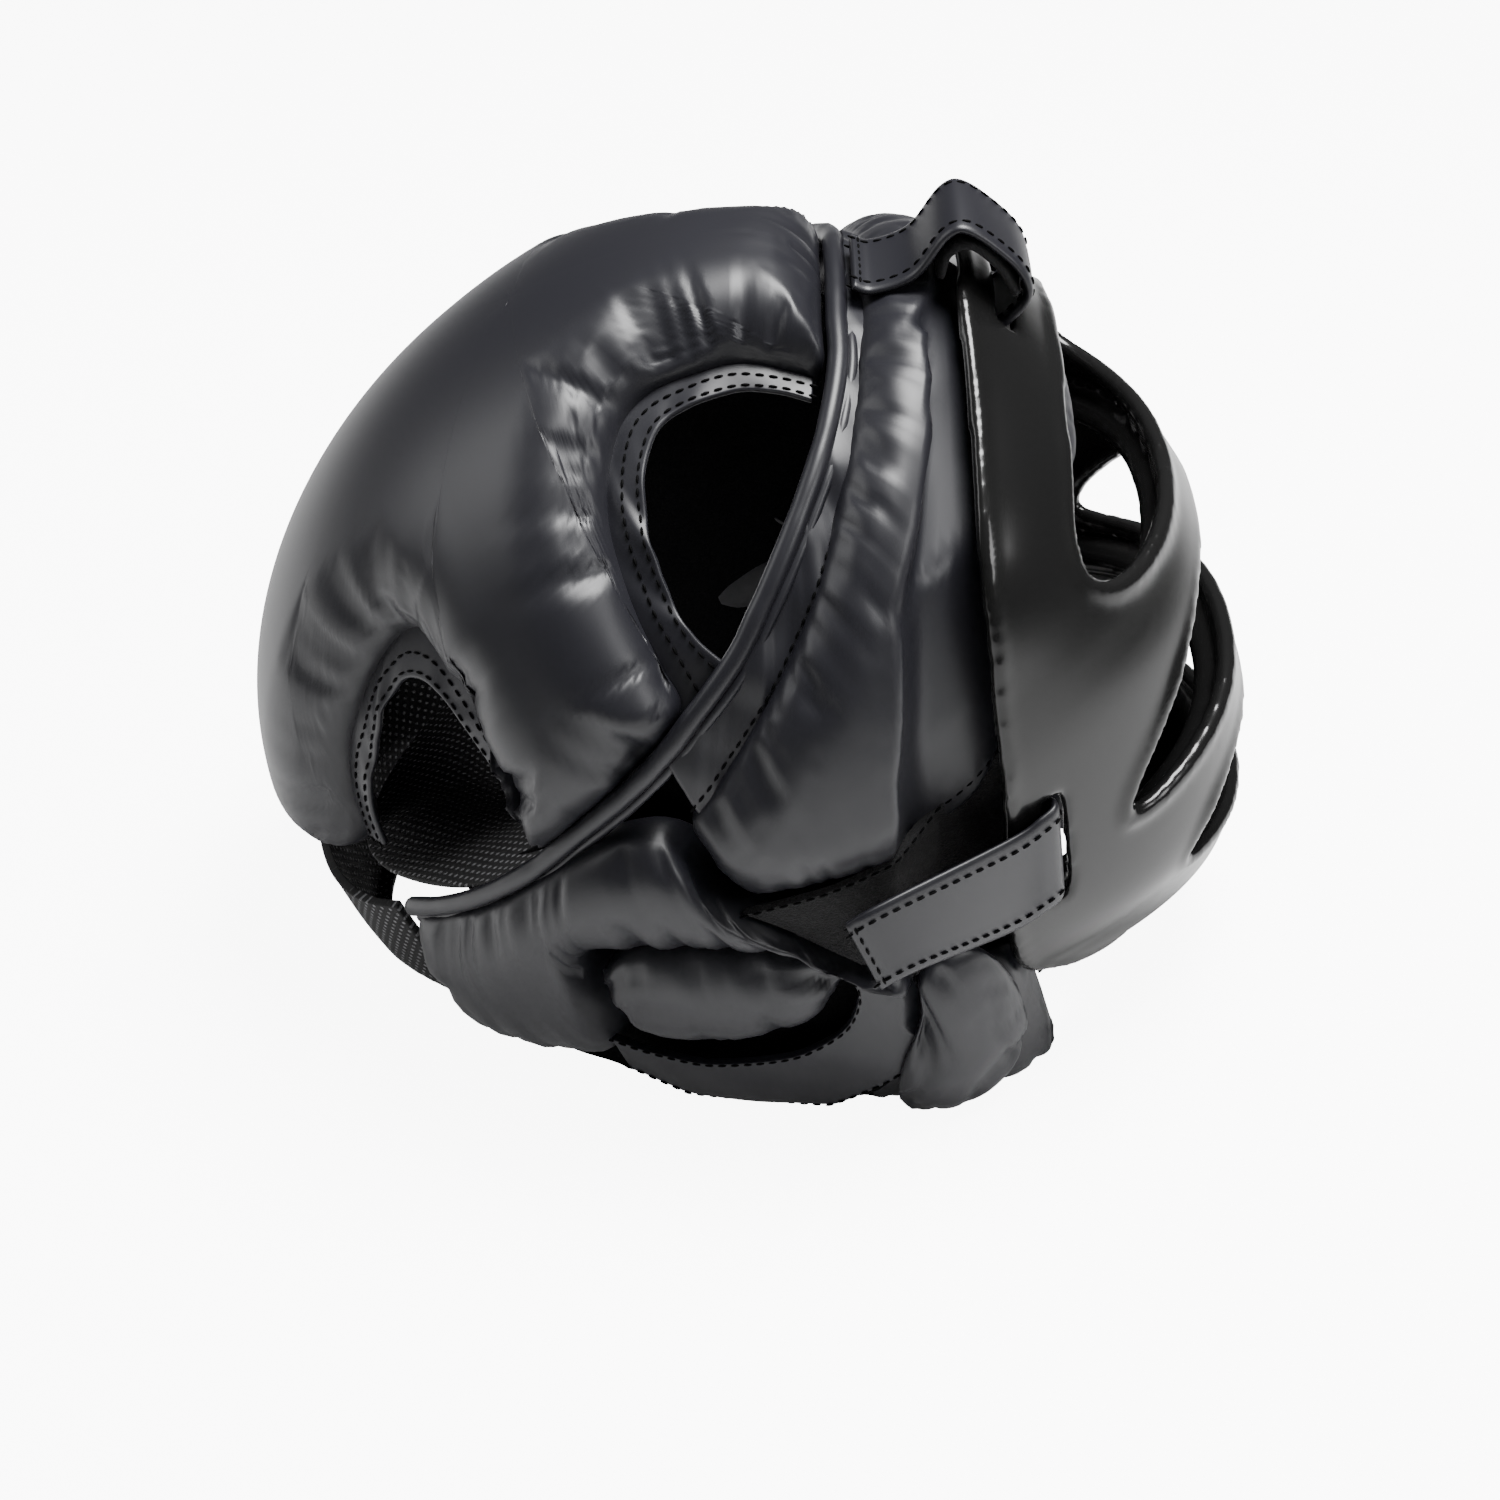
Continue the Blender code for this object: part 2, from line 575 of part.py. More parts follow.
def face_cage():
    """Moulded shield: a bowl with three openings, two rounded bars and strap slots."""
    mesh = shell_mesh("face_cage", shield_grid(0.0), shield_grid(-SHIELD_THICK))
    cage = add_object("face_cage", mesh, plastic(), smooth=40)
    for name, outline in (("eye_cut", EYE_OPENING), ("nose_cut", NOSE_OPENING),
                          ("mouth_cut", MOUTH_OPENING)):
        boolean(cage, opening_cutter(name, outline), "DIFFERENCE")
    boolean(cage, bar_guide("upper_bar", UPPER_BAR_DROP, UPPER_BAR_SPREAD), "UNION")
    boolean(cage, bar_guide("lower_bar", LOWER_BAR_DROP, LOWER_BAR_SPREAD), "UNION")
    for side, name in ((1, "slot_right_cut"), (-1, "slot_left_cut")):
        upper = shield_spot(side_slot_share(0), SLOT_INSET, side)
        lower = shield_spot(side_slot_share(SLOT_LENGTH), SLOT_INSET, side)
        outward = (upper + lower) / 2 - shield_spot(side_slot_share(SLOT_LENGTH / 2), SLOT_INSET,
                                                    side, -SHIELD_HALF_WIDTH / 2)
        boolean(cage, slot_cutter(name, (upper + lower) / 2, lower - upper, outward,
                                  np.linalg.norm(lower - upper)), "DIFFERENCE")
    share = 1 - BROW_SLOT_DROP / SHIELD_UP
    reach = shield_ring(share)[0]
    centre = place_shield(np.array((reach - SHIELD_THICK / 2, 0, float(shield_height(share)))))
    outward = turn(np.array((1.0, 0, BROW_SLOT_RISE)), SHIELD_PITCH)
    boolean(cage, slot_cutter("slot_brow_cut", centre, (0, 1, 0), outward,
                              STRAP_WIDTH + SLOT_ROOM), "DIFFERENCE")
    return cage


def ribbon(name, rows, finish, stations=18):
    """Strap through pairs of edge points, with its thickness to both sides."""
    table = smooth_rows(np.asarray(rows, float).reshape(len(rows), 6), stations)
    edges = table.reshape(stations, 2, 3)
    along = np.gradient(edges.mean(axis=1), axis=0)
    across = edges[:, 1] - edges[:, 0]
    normal = np.cross(along, across)
    normal /= np.linalg.norm(normal, axis=-1, keepdims=True)
    offset = normal[:, None, :] * STRAP_THICK / 2
    return add_object(name, shell_mesh(name, edges + offset, edges - offset), finish)


def side_strap(name, side):
    """Strap from the temple patch over the shield's edge and in through its slot."""
    over = STRAP_THICK / 2 + STRAP_GAP
    rows = [[on_form(azimuth * side, latitude, over + PATCH_THICK) for latitude in ends]
            for azimuth, *ends in STRAP_ENDS]
    for inset, lift in ((-SLOT_INSET / 3, over + 0.4 * STRAP_THICK), (SLOT_INSET / 2, over),
                        (SLOT_INSET * 0.9, over / 2), (SLOT_INSET, -SHIELD_THICK * 0.6),
                        (SLOT_INSET * 0.7, -SHIELD_THICK - over)):
        rows.append([shield_spot(side_slot_share(SLOT_ROOM / 2 + distance), inset, side, lift)
                     for distance in (0, STRAP_WIDTH)])
    return ribbon(name, rows, leather())


def top_strap():
    """Loose centre strap from the crown seam over the brow edge and in through its slot."""
    half = STRAP_WIDTH / 2
    share = 1 - BROW_SLOT_DROP / SHIELD_UP
    brow = np.array((shield_ring(1.0)[0], 0, SHIELD_UP))
    slot = np.array((shield_ring(share)[0], 0, float(shield_height(share))))
    start = [on_form(0, latitude, STRAP_THICK * 1.8) for latitude in TOP_STRAP_START]
    middle = [place_shield(brow + np.array((ahead, 0, rise)) * STRAP_LOOP_RISE)
              for ahead, rise in TOP_STRAP_ROUTE]
    finish = [place_shield(slot + np.array((1, 0, BROW_SLOT_RISE)) * SHIELD_THICK * ahead)
              for ahead in (1, -1.5)]
    rows = [(centre + (0, -half, 0), centre + (0, half, 0)) for centre in start + middle + finish]
    return ribbon("strap_top", rows, leather(), stations=24)


def chin_strap():
    """Strap round the chin that shows under the shield's lower edge."""
    rows = []
    for azimuth in np.linspace(CHIN_STRAP_SPREAD, -CHIN_STRAP_SPREAD, 9):
        edges = on_form(azimuth, chin_latitude(CHIN_STRAP_EDGES), -CHIN_STRAP_DEPTH)
        rows.append(rest(press(edges, CHIN_STRAP_DEPTH), STRAP_THICK))
    return ribbon("strap_chin", rows, leather(), stations=16)


def centre_part():
    """Shifts the whole part so that its frame's origin is the middle of its base."""
    bpy.context.view_layer.update()
    graph = bpy.context.evaluated_depsgraph_get()
    low, high = np.full(3, np.inf), np.full(3, -np.inf)
    shown = [obj for obj in bpy.data.objects if not obj.hide_render]
    for obj in shown:
        for vertex in obj.evaluated_get(graph).to_mesh().vertices:
            place = np.array(obj.matrix_world @ vertex.co)
            low, high = np.minimum(low, place), np.maximum(high, place)
    middle = (low + high) / 2
    for obj in bpy.data.objects:
        obj.location -= Vector((middle[0], middle[1], low[2]))


def build():
    clear_scene()
    crown_pad()
    ruled_pad("forehead_pad", FOREHEAD_ROWS, 1, leather(), PAD_THICK, SEAM_DEPTH, stations=33,
              mirrored_end=True)
    ruled_pad("chin_pad", chin_rows(), 1, leather(), PAD_THICK * 0.6, SEAM_DEPTH * 0.5,
              lift=-CHIN_STRAP_ROOM, stations=15, across=5, mirrored_end=True)
    for side, word in ((1, "right"), (-1, "left")):
        ruled_pad("side_pad_" + word, SIDE_ROWS, side, leather(), PAD_THICK, SEAM_DEPTH,
                  stations=20)
        ruled_pad("ear_pad_" + word, EAR_ROWS, side, leather(), PAD_THICK * 0.9,
                  PAD_THICK * 0.4, stations=12)
        ruled_pad("cheek_pad_" + word, CHEEK_ROWS, side, leather(), CHEEK_THICK,
                  CHEEK_THICK * 0.6, stations=10, pressed=False)
        ruled_pad("jaw_pad_" + word, JAW_ROWS, side, leather(), PAD_THICK - CHEEK_THICK,
                  SEAM_DEPTH * 0.6, lift=-CHEEK_THICK - LAYER_GAP, stations=13, pressed=False)
        ruled_pad("ear_band_" + word, EAR_BAND_ROWS, side, leather(), LEATHER * 1.5, 0.0,
                  lift=-CHEEK_THICK + LEATHER, stations=12, across=4)
        ruled_pad("loop_patch_" + word, PATCH_ROWS, side, loop_cloth(), PATCH_THICK * 3, 0.0,
                  lift=-SEAM_DEPTH * 0.4, stations=9, across=4)
        for place, rows, setback in (("front_", FRONT_HOLE_ROWS, FRONT_HOLE_SETBACK),
                                     ("rear_", REAR_HOLE_ROWS, REAR_HOLE_SETBACK)):
            ruled_pad("hole_band_" + place + word, narrowed(rows, setback), side, leather(),
                      LEATHER, 0.0, lift=-BAND_DEPTH - SEAM_GAP, stations=22, across=3,
                      pressed=False)
        side_strap("strap_" + word, side)
    ruled_pad("rear_flap", FLAP_ROWS, 1, mesh_cloth(), FLAP_THICK, 0.0, lift=-PAD_THICK * 0.8,
              stations=10, across=4)
    seam_strip()
    piping()
    face_cage()
    top_strap()
    chin_strap()
    centre_part()


build()
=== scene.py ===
"""Sparring headgear with a moulded face shield: padded leather, trim, straps and studio.

The padded shell follows one head form. A place on it is an azimuth, from the brow (0) round
the ear (90) to the nape (180), and a latitude in degrees: above 0 the form is an ellipsoid,
below 0 a neck with the same arc length for each degree. +X is forward, +Y is the wearer's
left, +Z is up, metres.
"""
import math

import bmesh
import bpy
import numpy as np
from bpy.props import FloatProperty, FloatVectorProperty, PointerProperty
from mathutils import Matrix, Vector


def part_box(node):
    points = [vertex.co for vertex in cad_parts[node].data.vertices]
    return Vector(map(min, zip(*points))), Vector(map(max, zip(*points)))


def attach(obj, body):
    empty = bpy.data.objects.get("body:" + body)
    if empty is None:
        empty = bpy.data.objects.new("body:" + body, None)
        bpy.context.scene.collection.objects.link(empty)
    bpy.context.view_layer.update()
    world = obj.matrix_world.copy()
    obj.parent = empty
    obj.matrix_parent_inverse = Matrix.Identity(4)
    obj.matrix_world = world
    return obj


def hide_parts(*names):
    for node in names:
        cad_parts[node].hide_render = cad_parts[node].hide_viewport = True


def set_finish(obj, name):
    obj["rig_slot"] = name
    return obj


bl_info = {
    "name": "Sparring Headgear",
    "version": (1, 0, 0),
    "blender": (4, 5, 0),
    "location": "3D View > Sidebar > Headgear",
    "description": "Padded sparring headgear with a moulded shield, in a white studio",
    "category": "Add Mesh",
}

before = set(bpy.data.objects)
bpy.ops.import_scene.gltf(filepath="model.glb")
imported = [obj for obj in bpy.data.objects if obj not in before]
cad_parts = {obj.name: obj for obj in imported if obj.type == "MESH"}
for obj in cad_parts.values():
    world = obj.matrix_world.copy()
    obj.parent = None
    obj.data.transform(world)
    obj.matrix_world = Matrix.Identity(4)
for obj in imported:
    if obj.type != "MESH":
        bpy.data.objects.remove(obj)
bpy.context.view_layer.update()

# Head form
FORM_FRONT = 0.114
FORM_BACK = 0.143
FORM_SIDE = 0.113
FORM_TOP = 0.110
FORM_PITCH = math.radians(32.0)
NECK_TAPER = 0.12
NECK_LEAN = 0.15
CHIN_LEAN = 0.17
NECK_LENGTH = 0.125
DEGREE = FORM_TOP * math.pi / 180

# Padding
PAD_THICK = 0.024
PAD_PUFF = 0.024
SEAM_DEPTH = 0.012
BAND_DEPTH = 0.016
LEATHER = 0.0022
CHEEK_THICK = 0.0085
SEAM_GAP = 0.0006
LAYER_GAP = 0.0014
PRESS_GAP = 0.0055
PRESS_FADE = 0.28
PRESS_LOWEST = -0.85
PRESS_END = 1.16
PRESS_END_FADE = 0.1
REST_SHARE = 0.25
PIPING_RADIUS = 0.0024
THIN_WALL = 0.001
WALL_REACH = 0.6 * PAD_PUFF
HOLD_WIDTH = 0.007
# Depth of the ring lining, a dark sheet that is partly painted shade.
SHADE_LINING_LIFT = -0.0262
CLOTH_FRAMES = 20
STITCH_STEP = 0.0012

# Shield
BEAD_STEP = 0.003
EDGE_BEAD_RADIUS = 0.0024
SKIN_INSET = 0.0003
SHIELD_PITCH = math.radians(24.0)
SHIELD_THICK = 0.004
SHIELD_REACH = 0.1245
SHIELD_HALF_WIDTH = 0.100
SHIELD_UP = 0.071
SHIELD_DOWN = 0.136
SHIELD_SQUARE = 2.3
BAR_DEPTH = 0.0125
BAR_HEIGHT = 0.0095
SLOT_LENGTH = 0.034
SLOT_WIDTH = 0.006
SLOT_INSET = 0.012
SIDE_SLOT_TOP = 0.032
BROW_SLOT_DROP = 0.012
BROW_SLOT_RISE = 0.45

# Straps
STRAP_WIDTH = 0.029
STRAP_THICK = 0.0022
STRAP_GAP = 0.0016
STRAP_LOOP_RISE = 0.024
SLOT_ROOM = 0.004
PATCH_THICK = 0.0016
FLAP_THICK = 0.0026
CHIN_STRAP_DEPTH = 0.006
CHIN_STRAP_ROOM = 0.0105

# Shield rings, top to bottom: height share, reach share, half width share, rear edge share.
SHIELD_RINGS = (
    (1.000, 0.765, 0.62, 0.985),
    (0.860, 0.803, 0.76, 0.910),
    (0.500, 0.884, 1.06, 0.740),
    (0.000, 0.972, 1.06, 0.580),
    (-0.225, 1.000, 1.02, 0.490),
    (-0.580, 0.945, 0.90, 0.385),
    (-0.730, 0.878, 0.76, 0.450),
    (-0.870, 0.795, 0.55, 0.590),
    (-0.975, 0.655, 0.33, 0.850),
    (-1.000, 0.620, 0.26, 0.960),
)

# Shield openings: distance from the midline as a share of the half width, height share.
EYE_OPENING = ((0.0, 0.60), (0.32, 0.55), (0.56, 0.38), (0.655, 0.18), (0.60, 0.03),
               (0.42, -0.020), (0.0, -0.045))
NOSE_OPENING = ((0.0, -0.150), (0.32, -0.158), (0.55, -0.215), (0.70, -0.310),
                (0.745, -0.390), (0.70, -0.430), (0.50, -0.440), (0.0, -0.445))
MOUTH_OPENING = ((0.0, -0.535), (0.32, -0.540), (0.49, -0.575), (0.56, -0.640),
                 (0.50, -0.695), (0.30, -0.730), (0.0, -0.750))

# Bars of the shield: drop under its centre, half its spread in radians.
SHIELD_BARS = ((0.013, 1.0), (0.067, 1.05))

# Crown pad outline on the wearer's right, brow to nape: azimuth, latitude.
CROWN_EDGE = ((0, 47), (14, 46), (27, 43), (29, 46), (32, 54), (40, 59), (53, 63), (67, 62),
              (78, 56), (84, 48), (86.5, 36), (87, 27), (88, 20), (98, 14.5), (109, 9.8),
              (113.5, 9.5), (112.5, 19), (113.5, 27), (116, 35), (122, 43), (130, 45), (137, 41),
              (143, 34), (147.5, 26), (150, 17), (153, 8), (166, 5), (180, 4))

# Seam line of the crown pad's leg ends, where the piping runs: azimuth, latitude.
PIPING_LINE = ((0, 45.6), (14, 44.6), (26, 41.7), (37, 38.7), (50, 34.5), (59, 31), (68, 27),
               (76, 23), (87, 18.6), (97, 13.9), (107, 9.9), (116, 6), (128, 2.4), (142, -0.6))

# Leather borders of the crown holes. Each row is one section: azimuth and latitude at the
# crown pad's seam, then at the hole.
FRONT_HOLE_ROWS = ((28.5, 44, 33, 42.5), (30.5, 50, 35, 48), (35, 56.5, 39, 53),
                   (45, 61, 47, 56.5), (56, 63.5, 56, 58.5), (67, 62.5, 65, 57),
                   (77, 57, 73, 52), (83, 48.5, 78, 44.5), (85.7, 37, 80.5, 35.5),
                   (86.3, 28, 80.5, 28.5), (88, 18.5, 79, 22))
REAR_HOLE_ROWS = ((109.5, 13.5, 113.5, 13), (111.5, 20, 115, 19.5), (113.5, 27, 117, 26),
                  (116.8, 35, 120, 32.5), (122.5, 42.3, 124.5, 37.5), (130, 44.3, 130, 38.8),
                  (136.5, 40.5, 134.5, 36), (142.5, 33.5, 138.5, 30), (147, 25.5, 142, 23.5),
                  (149.5, 17, 144, 16.5), (152, 9, 146, 9))

# Ruled pads and panels: azimuth and latitude of a section's upper end, then its lower end.
FOREHEAD_ROWS = ((0, 41.5, 0, 4), (18, 39.6, 18, 2.5), (33, 35.8, 33, -1), (45, 31.3, 46, -8),
                 (56, 25.8, 57, -15.5), (69, 18.4, 70, -15.5), (80, 12.6, 81, -12.6),
                 (95.2, 4.4, 93.7, -8.4))
SIDE_ROWS = ((143, -2.6, 143, -22), (130, -0.2, 131, -24.5), (121, 2.4, 120, -27),
             (112, 5.4, 115, -9), (104, 7.2, 105, -11), (97.6, 4.4, 98, -15),
             (96, -5, 91, -20), (91, -15, 86, -27.5), (84, -27.5, 80, -36),
             (70, -34.5, 68, -47), (59, -38, 58, -53))
EAR_ROWS = ((114.2, -11, 115.4, -17), (110, -10.6, 112, -24), (104, -11.7, 105, -29),
            (97.4, -15.8, 98, -31), (91, -20.6, 92, -31.5), (87.2, -25.8, 88, -30))
EAR_BAND_ROWS = ((85.5, -27.9, 78.1, -34.75), (86.4, -33, 79.2, -43), (92, -37.5, 86, -48),
                 (101, -36.8, 98, -48.5), (109, -33, 108.5, -43), (118.6, -25.6, 119, -31))
CHEEK_ROWS = ((88, -49, 90, -54), (80.5, -42, 84, -58), (77.2, -35, 75.5, -59.5),
              (72.5, -34, 68, -57), (66, -37, 63, -50))
JAW_ROWS = ((106, -47, 106, -51), (96, -49, 97, -57), (88, -47, 90, -61), (80, -44, 82, -65.5),
            (69, -42.4, 71, -69.5), (61, -45, 61, -70), (56.5, -50, 56.5, -65))
CHIN_ROWS = ((0, -58, 0, -75), (18, -58, 19, -74.5), (36, -56.5, 38, -72), (53.8, -54, 54, -65))
PATCH_ROWS = ((93.2, -10.2, 83.8, -25.6), (82, -13.0, 75.4, -31.1), (70.5, -15.0, 69, -35.1),
              (58.4, -15, 62.5, -38), (49, -12, 53, -40))
FLAP_ROWS = ((-138, 3, -142.3, -25), (-160, 7, -160, -21), (-180, 5, -180, -19),
             (-195, 2, -195, -20), (-204, 0, -203, -22), (-214, -1, -213, -23))

# Lower edge of the ring's lining, a dark sheet that is partly painted shade, and the outer edge
# of the folded flap: azimuth, latitude.
SHADE_LINING_EDGE = ((0, 5), (20, 3.5), (33, 0), (45, -7), (51, -34), (57, -44), (70, -46), (78, -48),
               (92, -52), (105, -50), (120, -38), (132, -27), (143, -23))
FOLD_EDGE = ((150, -6), (180, -3), (196, 0.5), (212, 1.5), (232, 2.5), (250, 4))

# Side strap over the temple patch: azimuth, then the latitudes of its two edges.
STRAP_ENDS = ((82, -15, -28), (77, -15.2, -28.4))
CHIN_STRAP_SPREAD = 46
CHIN_STRAP_EDGES = (-58, -68)
TOP_STRAP_START = (44, 41)
TOP_STRAP_ROUTE = ((-0.53, 0.34), (-0.06, 0.62), (0.18, 0.57), (0.44, 0.10), (0.50, -0.22))
HOOK_ROUTE = ((-0.30, 0.20), (-0.12, 0.42), (0.12, 0.42), (0.30, 0.08), (0.36, -0.30))

SIDES = ((1, "right"), (-1, "left"))
FLOOR_HALF = 12.0


def amount(name, words, value, **kind):
    """A number that a user would change."""
    return FloatProperty(name=name, description=words, default=value, **kind)


def length(name, words, value):
    return amount(name, words, value, unit="LENGTH")


def angle(name, words, value):
    return amount(name, words, value, subtype="ANGLE")


def colour(name, words, value):
    return FloatVectorProperty(name=name, description=words, default=value, subtype="COLOR")


class HeadgearSizes(bpy.types.PropertyGroup):
    """Sizes of the soft surface and the sewing, over the fixed form."""
    gather_pitch: length("Gather pitch", "Spacing of gathers at a seam", 0.0055)
    gather_depth: length("Gather depth", "Depth of gathers at a seam", 0.0026)
    gather_reach: length("Gather reach", "How far gathers run in", 0.015)
    puff_cap: length("Puff cap", "Most that the cloth pass moves a point", 0.0009)
    puff_pressure: amount("Puff pressure", "Pressure in the cloth pass", 4.0)
    puff_slack: amount("Puff slack", "Spare leather in the cloth pass", 0.012)
    stitch_pitch: length("Stitch pitch", "Spacing of stitches", 0.0034)
    stitch_length: length("Stitch length", "Length of one stitch", 0.0024)
    thread_radius: length("Thread radius", "Radius of the thread", 0.00038)
    shield_voxel: length("Shield voxel", "Grid of the moulded shield", 0.0014)
    rim_radius: length("Rim radius", "Bead round the shield's openings", 0.0030)
    grain_pitch: length("Grain pitch", "Size of one leather pebble", 0.0011)
    mesh_pitch: length("Mesh pitch", "Spacing of dots in the lining", 0.0032)


class HeadgearFinish(bpy.types.PropertyGroup):
    """Colours and gloss of the materials."""
    leather_colour: colour("Leather", "Colour of the leather", (0.0022, 0.0022, 0.0026))
    leather_gloss: amount("Leather roughness", "Roughness of leather", 0.33)
    grain_depth: length("Grain depth", "Height of the leather grain", 0.00022)
    plastic_colour: colour("Plastic", "Colour of the shield", (0.004, 0.004, 0.0045))
    plastic_gloss: amount("Plastic roughness", "Roughness of plastic", 0.10)
    lining_colour: colour("Lining", "Colour of the mesh lining", (0.004, 0.004, 0.0045))
    dot_colour: colour("Lining dots", "Colour of its light dots", (0.24, 0.24, 0.25))
    thread_colour: colour("Thread", "Colour of the stitches", (0.001, 0.001, 0.0012))
    pile_colour: colour("Pile", "Colour of the loop patches", (0.0025, 0.0025, 0.003))


class HeadgearStage(bpy.types.PropertyGroup):
    """Camera, floor and lights."""
    elevation: angle("Elevation", "Camera height angle", math.radians(37.0))
    distance: length("Distance", "Camera to target", 0.80)
    view_angle: angle("View angle", "Camera's field of view", math.radians(30.0))
    aim_ahead: length("Aim ahead", "Target ahead of the form's centre", 0.0023)
    aim_drop: length("Aim drop", "Target below the form's centre", 0.0515)
    floor_colour: colour("Floor", "Colour of the floor", (0.9, 0.9, 0.9))
    floor_glow: amount("Floor glow", "Extra white of the backdrop", 9.0)
    world_light: amount("Surround", "Light of the white surround", 0.09)
    key_power: amount("Key power", "Power of the overhead softbox", 30.0)
    side_power: amount("Side power", "Power of the side softbox", 3.5)
    front_power: amount("Front power", "Power of the front softbox", 4.0)


def sizes():
    return bpy.context.scene.headgear_sizes


def finishes():
    return bpy.context.scene.headgear_finish


# Form

def turn(points, pitch):
    """Turns points about +Y so that the forward axis rises by the pitch."""
    points = np.asarray(points, float)
    forward, side, up = points[..., 0], points[..., 1], points[..., 2]
    return np.stack((forward * math.cos(pitch) - up * math.sin(pitch), side,
                     forward * math.sin(pitch) + up * math.cos(pitch)), -1)


def on_bare_form(azimuth, latitude, lift=0.0):
    """Places on the tilted head form about its own centre."""
    azimuth, rise = np.radians(np.asarray(azimuth, float)), np.asarray(latitude, float)
    front = np.where(np.cos(azimuth) >= 0, FORM_FRONT, FORM_BACK) + lift
    above = np.radians(np.clip(rise, 0, 90))
    below = np.minimum(rise, 0) * DEGREE
    ring = np.where(rise >= 0, np.cos(above), 1 - NECK_TAPER * (below / NECK_LENGTH) ** 2)
    lean = NECK_LEAN + CHIN_LEAN * np.maximum(np.cos(azimuth), 0) ** 2
    height = np.where(rise >= 0, (FORM_TOP + lift) * np.sin(above), below)
    local = np.stack((front * ring * np.cos(azimuth) + lean * below,
                      -(FORM_SIDE + lift) * ring * np.sin(azimuth), height), -1)
    return turn(local, FORM_PITCH)


def form_centre():
    """Centre of the head form, found from the box of the brow's seam strip."""
    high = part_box("seam_strip")[1]
    lift = LEATHER - SEAM_DEPTH
    top = on_bare_form(0, PIPING_LINE[0][1] - (PIPING_RADIUS + SEAM_GAP) / DEGREE, lift)
    front = on_bare_form(0, FOREHEAD_ROWS[0][1] + 0.0013 / DEGREE, lift)
    return np.array((high.x - front[0], 0.0, high.z - top[2]))


CENTRE = form_centre()


def on_form(azimuth, latitude, lift=0.0):
    return on_bare_form(azimuth, latitude, lift) + CENTRE


def smooth_rows(rows, count):
    """Rows read at evenly spaced stations of a smooth curve through the given ones."""
    table = np.asarray(rows, float)
    last = len(table) - 1
    padded = np.vstack((2 * table[0] - table[1], table, 2 * table[-1] - table[-2]))
    station = np.linspace(0, last, count)
    index = np.minimum(station.astype(int), last - 1)
    part = (station - index)[:, None]
    before, start, end, after = (padded[index + k] for k in range(4))
    return 0.5 * (2 * start + (end - before) * part
                  + (2 * before - 5 * start + 4 * end - after) * part ** 2
                  + (3 * start - before - 3 * end + after) * part ** 3)


def between(rows, share):
    """Azimuths and latitudes at a share of the way from each row's first place to its second."""
    return (rows[:, 0:1] * (1 - share) + rows[:, 2:3] * share,
            rows[:, 1:2] * (1 - share) + rows[:, 3:4] * share)


def latitude_on(line, azimuth):
    """Latitude of a line of azimuths and latitudes, the same on both sides."""
    table = np.asarray(line, float)
    return np.interp(abs(azimuth), table[:, 0], table[:, 1])


def closed_half(line):
    """A right-hand line continued over the midline to its mirror."""
    line = np.asarray(line, float)
    return np.vstack((line[:0:-1] * (-1, 1), line))


def run_along(points):
    """Arc length of each point of a line."""
    steps = np.linalg.norm(np.diff(points, axis=0), axis=-1)
    return np.concatenate(([0], np.cumsum(steps)))


def evenly(points, step):
    """The line again, with points a step apart."""
    run = run_along(points)
    count = max(int(run[-1] / step), 2)
    places = np.linspace(0, run[-1], count)
    return np.stack([np.interp(places, run, points[:, k]) for k in range(points.shape[1])], -1)


def inward(points, depth):
    """Points moved toward the head form's vertical axis by a depth that may vary."""
    axis = turn(np.array([0.0, 0.0, 1.0]), FORM_PITCH)
    along = np.minimum((points - CENTRE) @ axis, 0)[..., None] * axis
    away = points - CENTRE - along
    size = np.linalg.norm(away, axis=-1, keepdims=True)
    return points - away / size * np.asarray(depth)[..., None]


def press(points, below=0.0):
    """Moves pad points inward until they clear the inside of the shield by a depth."""
    points = np.asarray(points, float)
    local = turn(points - CENTRE, -SHIELD_PITCH)
    up = local[..., 2]
    share = np.where(up >= 0, up / SHIELD_UP, up / SHIELD_DOWN)
    reach, width, rear = shield_ring(np.clip(share, PRESS_LOWEST, 1))
    inset = SHIELD_THICK + PRESS_GAP + below
    half = SHIELD_SQUARE / 2
    ahead = np.maximum(local[..., 0], 0) ** half
    aside = np.abs(local[..., 1]) ** half
    ratio = np.hypot(ahead / (reach - inset) ** half,
                     aside / (width - inset) ** half) ** (1 / half)
    angle = np.arctan2(aside / width ** half, ahead / reach ** half)
    edge = np.arccos(np.minimum(rear / reach, 1) ** half)
    near = np.clip((edge + PRESS_FADE - angle) / (PRESS_FADE / 2), 0, 1)
    near = near * np.clip((PRESS_END - np.abs(share)) / PRESS_END_FADE, 0, 1)
    factor = 1 - near * (1 - 1 / np.maximum(ratio, 1))
    local[..., 0] *= factor
    local[..., 1] *= factor
    return turn(local, SHIELD_PITCH) + CENTRE


def rest(points, floor=0.0):
    """Flattens what would pass through the surface that the headgear stands on."""
    points = np.array(points, float)
    points[..., 2] = np.maximum(points[..., 2], floor)
    return points


def ripple(places, pitch, seed):
    """Smooth random values from -1 to 1 along a length, about one swing for each pitch."""
    knots = np.random.default_rng(seed).uniform(-1, 1, 997)
    place = (np.asarray(places, float) / pitch + 331) % 995
    index = place.astype(int)
    part = place - index
    part = part * part * (3 - 2 * part)
    return knots[index] * (1 - part) + knots[index + 1] * part


def crumple(first, second, pitch, seed):
    """Smooth random values over a surface, from two of its lengths."""
    return (ripple(first + 0.6 * second, pitch, seed)
            + ripple(second - 0.5 * first, pitch, seed + 1)
            + ripple(first - 1.3 * second, pitch * 0.7, seed + 2)) / 3


